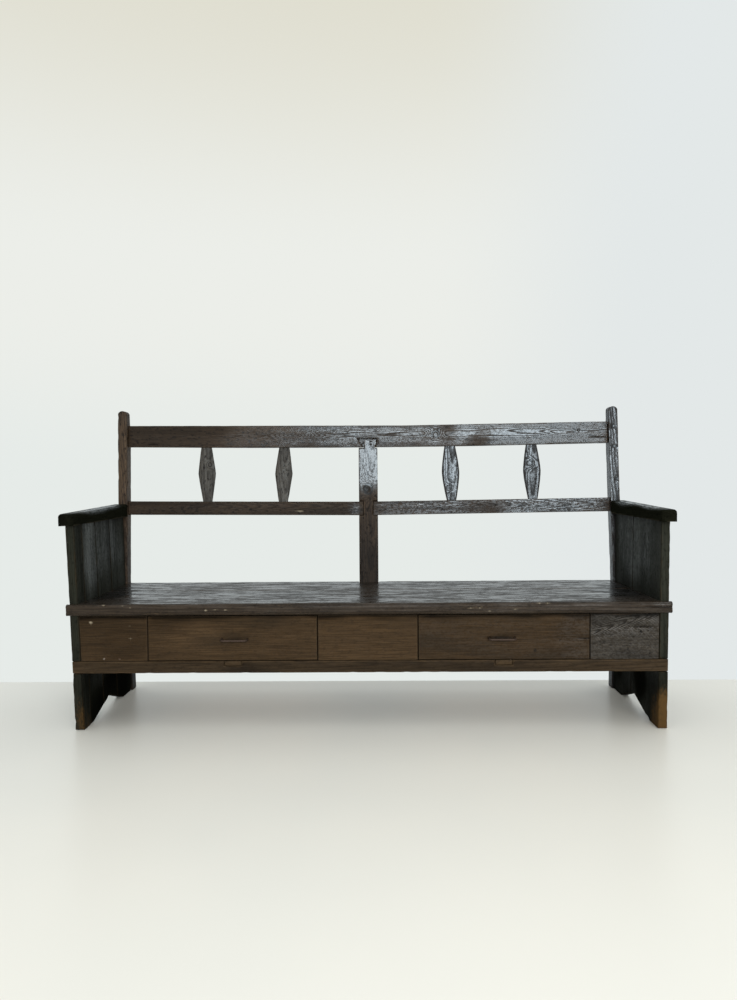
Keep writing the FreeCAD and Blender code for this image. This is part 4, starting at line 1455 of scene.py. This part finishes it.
@dataclass
class Case:
    """The box under the seat: rails, fixed front boards, back and hidden framing."""

    front: Hewing = Hewing(arris=0.0016, step=0.016, across=0.011, ripple=0.0005, chip=0.0014)
    rough: Hewing = Hewing(arris=0.002, step=0.02, across=0.016, ripple=0.001, chip=0.002)
    hidden: tuple[str, ...] = (
        "seat_cleat_left", "seat_cleat_right", "lower_cleat_left", "lower_cleat_right",
        "partition_left_inner", "partition_left_outer", "partition_right_inner",
        "partition_right_outer", "runner_left_inner", "runner_left_outer",
        "runner_right_inner", "runner_right_outer",
    )

    def build(self) -> list[bpy.types.Object]:
        """Makes the seen pieces and finishes the hidden solids.

        Returns:
            The seen pieces' objects.
        """
        made = self.panels()
        rail = Cut(Axis.X, Axis.Z, (0.01, 0.05), (0.004, 0.016), 75.0)
        seams = []
        for left, right in ((-0.4690, -0.4124), (0.4200, 0.4766)):
            corners = [on_front(x, z) for x, z in (
                (left, 0.229), (left, 0.2122), (right, 0.2122), (right, 0.229))]
            seams += [Crack(a, b, AHEAD, 0.0022, 0.003, -0.85)
                      for a, b in zip(corners, corners[1:])]
        made.append(Board("front_rail", rail, RAIL_PINE, replace(self.front, seed=75.0, chip=0.003),
                          tuple(seams)).build())
        for number, side in enumerate(("left", "right")):
            cut = Cut(Axis.Y, Axis.X, (0.0, 0.03), (0.0, 0.02), 76.0 + number)
            made.append(Board("bearer_" + side, cut, RAIL_PINE,
                              replace(self.front, arris=0.0012, seed=76.0)).build())
        for number, node in enumerate(("case_back", "rear_rail")):
            cut = Cut(Axis.X, Axis.Z, (0.0, 0.06), (0.0, 0.02), 78.0 + number)
            made.append(Board(node, cut, CASE_PINE,
                              replace(self.rough, seed=78.0 + number)).build())
        for number, node in enumerate(self.hidden):
            self.finish_solid(node, 80.0 + number)
        return made

    def panels(self) -> list[bpy.types.Object]:
        """The three fixed front boards; the right one is grey, coarse and cracked.

        Returns:
            Three objects.
        """
        left = Board(
            "panel_left", Cut(Axis.X, Axis.Z, (0.02, 0.09), (0.01, 0.02), 70.0), FRONT_PINE,
            replace(self.front, seed=70.0),
            tuple(Scar(on_front(x, z), AHEAD, size, 0.0008, bare=140 * size, long=1.5)
                  for x, z, size in ((-0.9086, 0.3589, 0.0045), (-0.7781, 0.3467, 0.0014),
                                     (-0.7772, 0.3053, 0.0018))),
            (Patch((-0.83, FRONT_PLANE, 0.30), (0.25, 0.1, 0.15), tone=-0.38), UNDER_SEAT),
        )
        centre = Board(
            "panel_centre", Cut(Axis.X, Axis.Z, (-0.03, 0.10), (0.01, 0.02), 71.0), FRONT_PINE,
            replace(self.front, seed=71.0),
            patches=(UNDER_SEAT,),
        )
        right = Board(
            "panel_right", Cut(Axis.X, Axis.Z, (0.05, 0.03), (0.35, 0.10), 72.0), GREY_PINE,
            replace(self.front, seed=72.0, ripple=0.0016),
            (
                Crack(on_front(0.8637, 0.3349), on_front(0.9380, 0.3345), AHEAD),
                Scar(on_front(0.8928, 0.3201), AHEAD, 0.0045, 0.003, tone=-0.9),
                Scar(on_front(0.8509, 0.2629), AHEAD, 0.0035, 0.002, tone=-0.7),
                Scar(on_front(0.9222, 0.2495), AHEAD, 0.0045, 0.002, tone=-0.7),
            ),
            (Patch((0.83, FRONT_PLANE, 0.35), (0.25, 0.1, 0.08), sheen=0.5, tone=-0.15),
             UNDER_SEAT),
        )
        return [board.build() for board in (left, centre, right)]

    def finish_solid(self, node: str, seed: float) -> None:
        """Gives a hidden solid its wood."""
        low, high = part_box(node)
        size = high - low
        grain = max(Axis, key=lambda axis: size[axis.value])
        width = Axis.Z if grain is not Axis.Z else Axis.Y
        cut = Cut(grain, width, (0.0, 0.05), (0.0, 0.02), seed)
        solid = frame["nodes"][node]
        solid.data.materials.clear()
        solid.data.materials.append(CASE_PINE.material(node, cut, (low + high) / 2))


@dataclass
class Drawers:
    """The two drawers: fronts, boxes and bent iron pulls."""

    front: Hewing = Hewing(arris=0.0018, step=0.016, across=0.011, ripple=0.0006, chip=0.0016)
    box: Hewing = Hewing(arris=0.001, step=0.03, across=0.02, ripple=0.0004, chip=0.001)
    rod: float = 0.0065
    bend: float = 0.009
    hammering: float = 0.0007
    stains: tuple[tuple[Patch, ...], ...] = (
        (Patch((-0.56, -0.247, 0.30), (0.13, 0.1, 0.07), tone=0.25, worn=0.1),
         Patch((-0.66, -0.247, 0.36), (0.12, 0.1, 0.05), tone=-0.3),
         Patch((-0.44, -0.247, 0.30), (0.60, 0.1, 0.2), tone=-0.12)),
        (Patch((0.70, -0.247, 0.30), (0.12, 0.1, 0.2), tone=-0.15, sheen=0.7),
         Patch((0.44, -0.247, 0.30), (0.60, 0.1, 0.2), tone=-0.28, sheen=0.25)),
    )
    marks: tuple[Scar | Crack, ...] = (
        Scar(on_front(0.5492, 0.2610), AHEAD, 0.0075, 0.001,
             rim=0.0006, tone=-0.6),
        Scar(on_front(0.6304, 0.2935), AHEAD, 0.003, 0.001, tone=-0.6),
        Crack(on_front(0.690, 0.2985), on_front(0.740, 0.2975),
              AHEAD, 0.003),
    )

    def build(self) -> list[bpy.types.Object]:
        """Makes both drawers.

        Returns:
            One object for each board and pull.
        """
        tree, made = pull_tree(), []
        for number, side in enumerate(("left", "right")):
            seed = 90.0 + 5 * number
            face = Cut(Axis.X, Axis.Z, (0.02 - 0.05 * number, 0.10), (0.004, 0.018), seed)
            name = "drawer_" + side
            low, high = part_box("pull_" + side)
            # Painted shade round the pull: a darker band on the drawer front
            pull_shade = Patch((low + high) / 2, (0.055, 0.1, 0.013), tone=-0.6)
            made.append(Board(name + "_front", face, FRONT_PINE, replace(self.front, seed=seed),
                              self.marks if side == "right" else (),
                              (*self.stains[number], pull_shade, UNDER_SEAT)).build())
            for part, grain, width in (
                ("side_left", Axis.Y, Axis.Z), ("side_right", Axis.Y, Axis.Z),
                ("back", Axis.X, Axis.Z), ("bottom", Axis.X, Axis.Y),
            ):
                cut = Cut(grain, width, (0.0, 0.07), (0.01, 0.02), seed + len(part))
                made.append(Board(f"{name}_{part}", cut, BOX_PINE,
                                  replace(self.box, seed=seed + len(part))).build())
            made.append(self.pull(tree, "pull_" + side, seed))
        return made

    def pull(self, tree: GeometryTree, node: str, seed: float) -> bpy.types.Object:
        """One pull, swept along the line of its solid.

        Args:
            tree: The tree of the bent rod.
            node: The solid's name.
            seed: Number of the hammer marks.

        Returns:
            The pull.
        """
        low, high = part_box(node)
        half = self.rod / 2
        left, right, height = low.x + half, high.x - half, (low.z + high.z) / 2
        tip, root = low.y + half, high.y
        corners = [(left, root), (left, tip), (right, tip), (right, root)]
        base = bpy.data.meshes.new(node + "_path")
        base.from_pydata([(x, y, height) for x, y in corners], [(0, 1), (1, 2), (2, 3)], [])
        piece = tree.grow(node + "_forged", base, {
            "Rod Radius": half, "Bend Radius": self.bend, "Hammering": self.hammering,
            "Seed": seed, "Material": PULL_IRON.material(),
        })
        return settle(piece, PULL_IRON.slot, node)


@dataclass
class Nails:
    """The few nail heads that show on the front."""

    radius: float = 0.0034
    height: float = 0.0011
    seed: int = 7
    places: tuple[tuple[float, float, float], ...] = (
        (-0.8664, FRONT_PLANE, 0.2377), (-0.8150, FRONT_PLANE, 0.2375),
    )

    def build(self) -> list[bpy.types.Object]:
        """Makes the heads on the bench's own body.

        Returns:
            One object.
        """
        base = bpy.data.meshes.new("nail_places")
        base.from_pydata(list(self.places), [], [])
        facing = base.attributes.new("facing", "FLOAT_VECTOR", "POINT")
        facing.data.foreach_set("vector", list(AHEAD) * len(self.places))
        piece = nail_tree().grow("front_nails", base, {
            "Head Radius": self.radius, "Head Height": self.height, "Seed": self.seed,
            "Material": NAIL_IRON.material(),
        })
        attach(piece, "bench")
        return [piece]


@dataclass
class Studio:
    """Pale floor, pale surroundings, a broad window light and the camera."""

    wall_line: float = 0.3168
    camera: tuple[float, float, float] = (0.0477, -2.5685, 0.8271)
    yaw: float = -0.01623
    pitch: float = 0.03102
    roll: float = 0.00849
    lens: float = 25.7
    window: tuple[float, float, float] = (1.0, -5.3, 2.0)
    window_size: tuple[float, float] = (4.0, 2.2)
    window_power: float = 218.0
    window_aim: tuple[float, float, float] = (0.3, 0.2, 0.7)
    sensor: float = 36.0
    floor_reach: float = 9.0

    def build(self) -> None:
        """Makes floor, world, light and camera."""
        self.floor()
        self.world()
        self.light()
        self.view()

    def floor(self) -> None:
        """A polished pale floor that ends at the wall line."""
        mesh = bpy.data.meshes.new("floor")
        far = self.floor_reach
        mesh.from_pydata([(-far, -far, 0), (far, -far, 0), (far, self.wall_line, 0),
                          (-far, self.wall_line, 0)], [], [(0, 1, 2, 3)])
        piece = placed("floor", mesh)
        made, t = blank("floor")
        where = t.put("ShaderNodeTexCoord").outputs["Object"]
        cloud = t.noise(where, (1.2, 1.2, 1.2), 3, 0.5).outputs[0]
        colour = t.tint(t.smooth(cloud, 0.3, 0.7), screen(229, 227, 219), screen(225, 224, 217))
        rough = t.spread(cloud, 0.26, 0.36)
        shader = t.put("ShaderNodeBsdfPrincipled", {
            "Base Color": colour, "Roughness": rough, "Specular IOR Level": 0.35,
        })
        t.put("ShaderNodeOutputMaterial", {"Surface": shader.outputs[0]})
        mesh.materials.append(made)

    def world(self) -> None:
        """Pale to the eye; as light, bright behind and above and dimmer in front."""
        world = bpy.data.worlds.new("studio")
        bpy.context.scene.world = world
        world.use_nodes = True
        world.node_tree.nodes.clear()
        t = Tree(world.node_tree)
        direction = t.put("ShaderNodeTexCoord").outputs["Generated"]
        x, y, z = t.split(direction)
        seen = t.tint(t.smooth(z, 0.0, 0.22), screen(230, 235, 232), screen(236, 238, 233))
        seen = t.tint(t.smooth(z, 0.28, 0.60), seen, screen(223, 221, 207))
        seen = t.tint(t.smooth(x, 0.05, 0.35), seen, screen(227, 232, 232))
        behind = t.smooth(y, -0.25, 0.35)
        above = t.smooth(z, 0.15, 0.75)
        share = t.math("MAXIMUM", behind, above)
        lit = t.tint(share, screen(56, 56, 54), screen(218, 226, 228))
        lit = t.tint(t.smooth(z, 0.45, 0.9), lit, (1.06, 1.07, 1.05, 1.0))
        eye = t.put("ShaderNodeLightPath").outputs["Is Camera Ray"]
        final = t.tint(eye, lit, seen)
        back = t.put("ShaderNodeBackground", {"Color": final, "Strength": 1.0})
        t.put("ShaderNodeOutputWorld", {"Surface": back.outputs[0]})

    def light(self) -> None:
        """The broad window behind the camera, to its right."""
        data = bpy.data.lights.new("window", "AREA")
        data.shape = "RECTANGLE"
        data.size, data.size_y = self.window_size
        data.energy = self.window_power
        data.color = (1.0, 0.99, 0.96)
        lamp = placed("window", data)
        lamp.location = self.window
        aim = Vector(self.window_aim) - Vector(self.window)
        lamp.rotation_euler = aim.to_track_quat("-Z", "Y").to_euler()

    def view(self) -> None:
        """The camera at the photograph's place."""
        data = bpy.data.cameras.new("camera")
        data.sensor_width = self.sensor
        data.lens = self.lens
        ahead = Vector((math.sin(self.yaw), math.cos(self.yaw), 0))
        right = Vector((math.cos(self.yaw), -math.sin(self.yaw), 0))
        up = Vector((0, 0, 1))
        look = ahead * math.cos(self.pitch) - up * math.sin(self.pitch)
        top = up * math.cos(self.pitch) + ahead * math.sin(self.pitch)
        side = right * math.cos(self.roll) - top * math.sin(self.roll)
        head = top * math.cos(self.roll) + right * math.sin(self.roll)
        camera = placed("camera", data)
        turn = Matrix((side, head, -look)).transposed()
        camera.matrix_world = Matrix.Translation(Vector(self.camera)) @ turn.to_4x4()
        bpy.context.scene.camera = camera
        bpy.context.scene.view_settings.view_transform = "Standard"


def main() -> None:
    """Builds every sub-assembly in order and reports its pieces."""
    logging.basicConfig(level=logging.INFO, format="%(message)s")
    for assembly in (PlankEnds(), Arms(), BackFrame(), Seat(), Case(), Drawers(), Nails()):
        for piece in assembly.build():
            log.info("%s: %s, %d faces", type(assembly).__name__, piece.name,
                     len(piece.data.polygons))
    Studio().build()


if __name__ == "__main__":
    main()
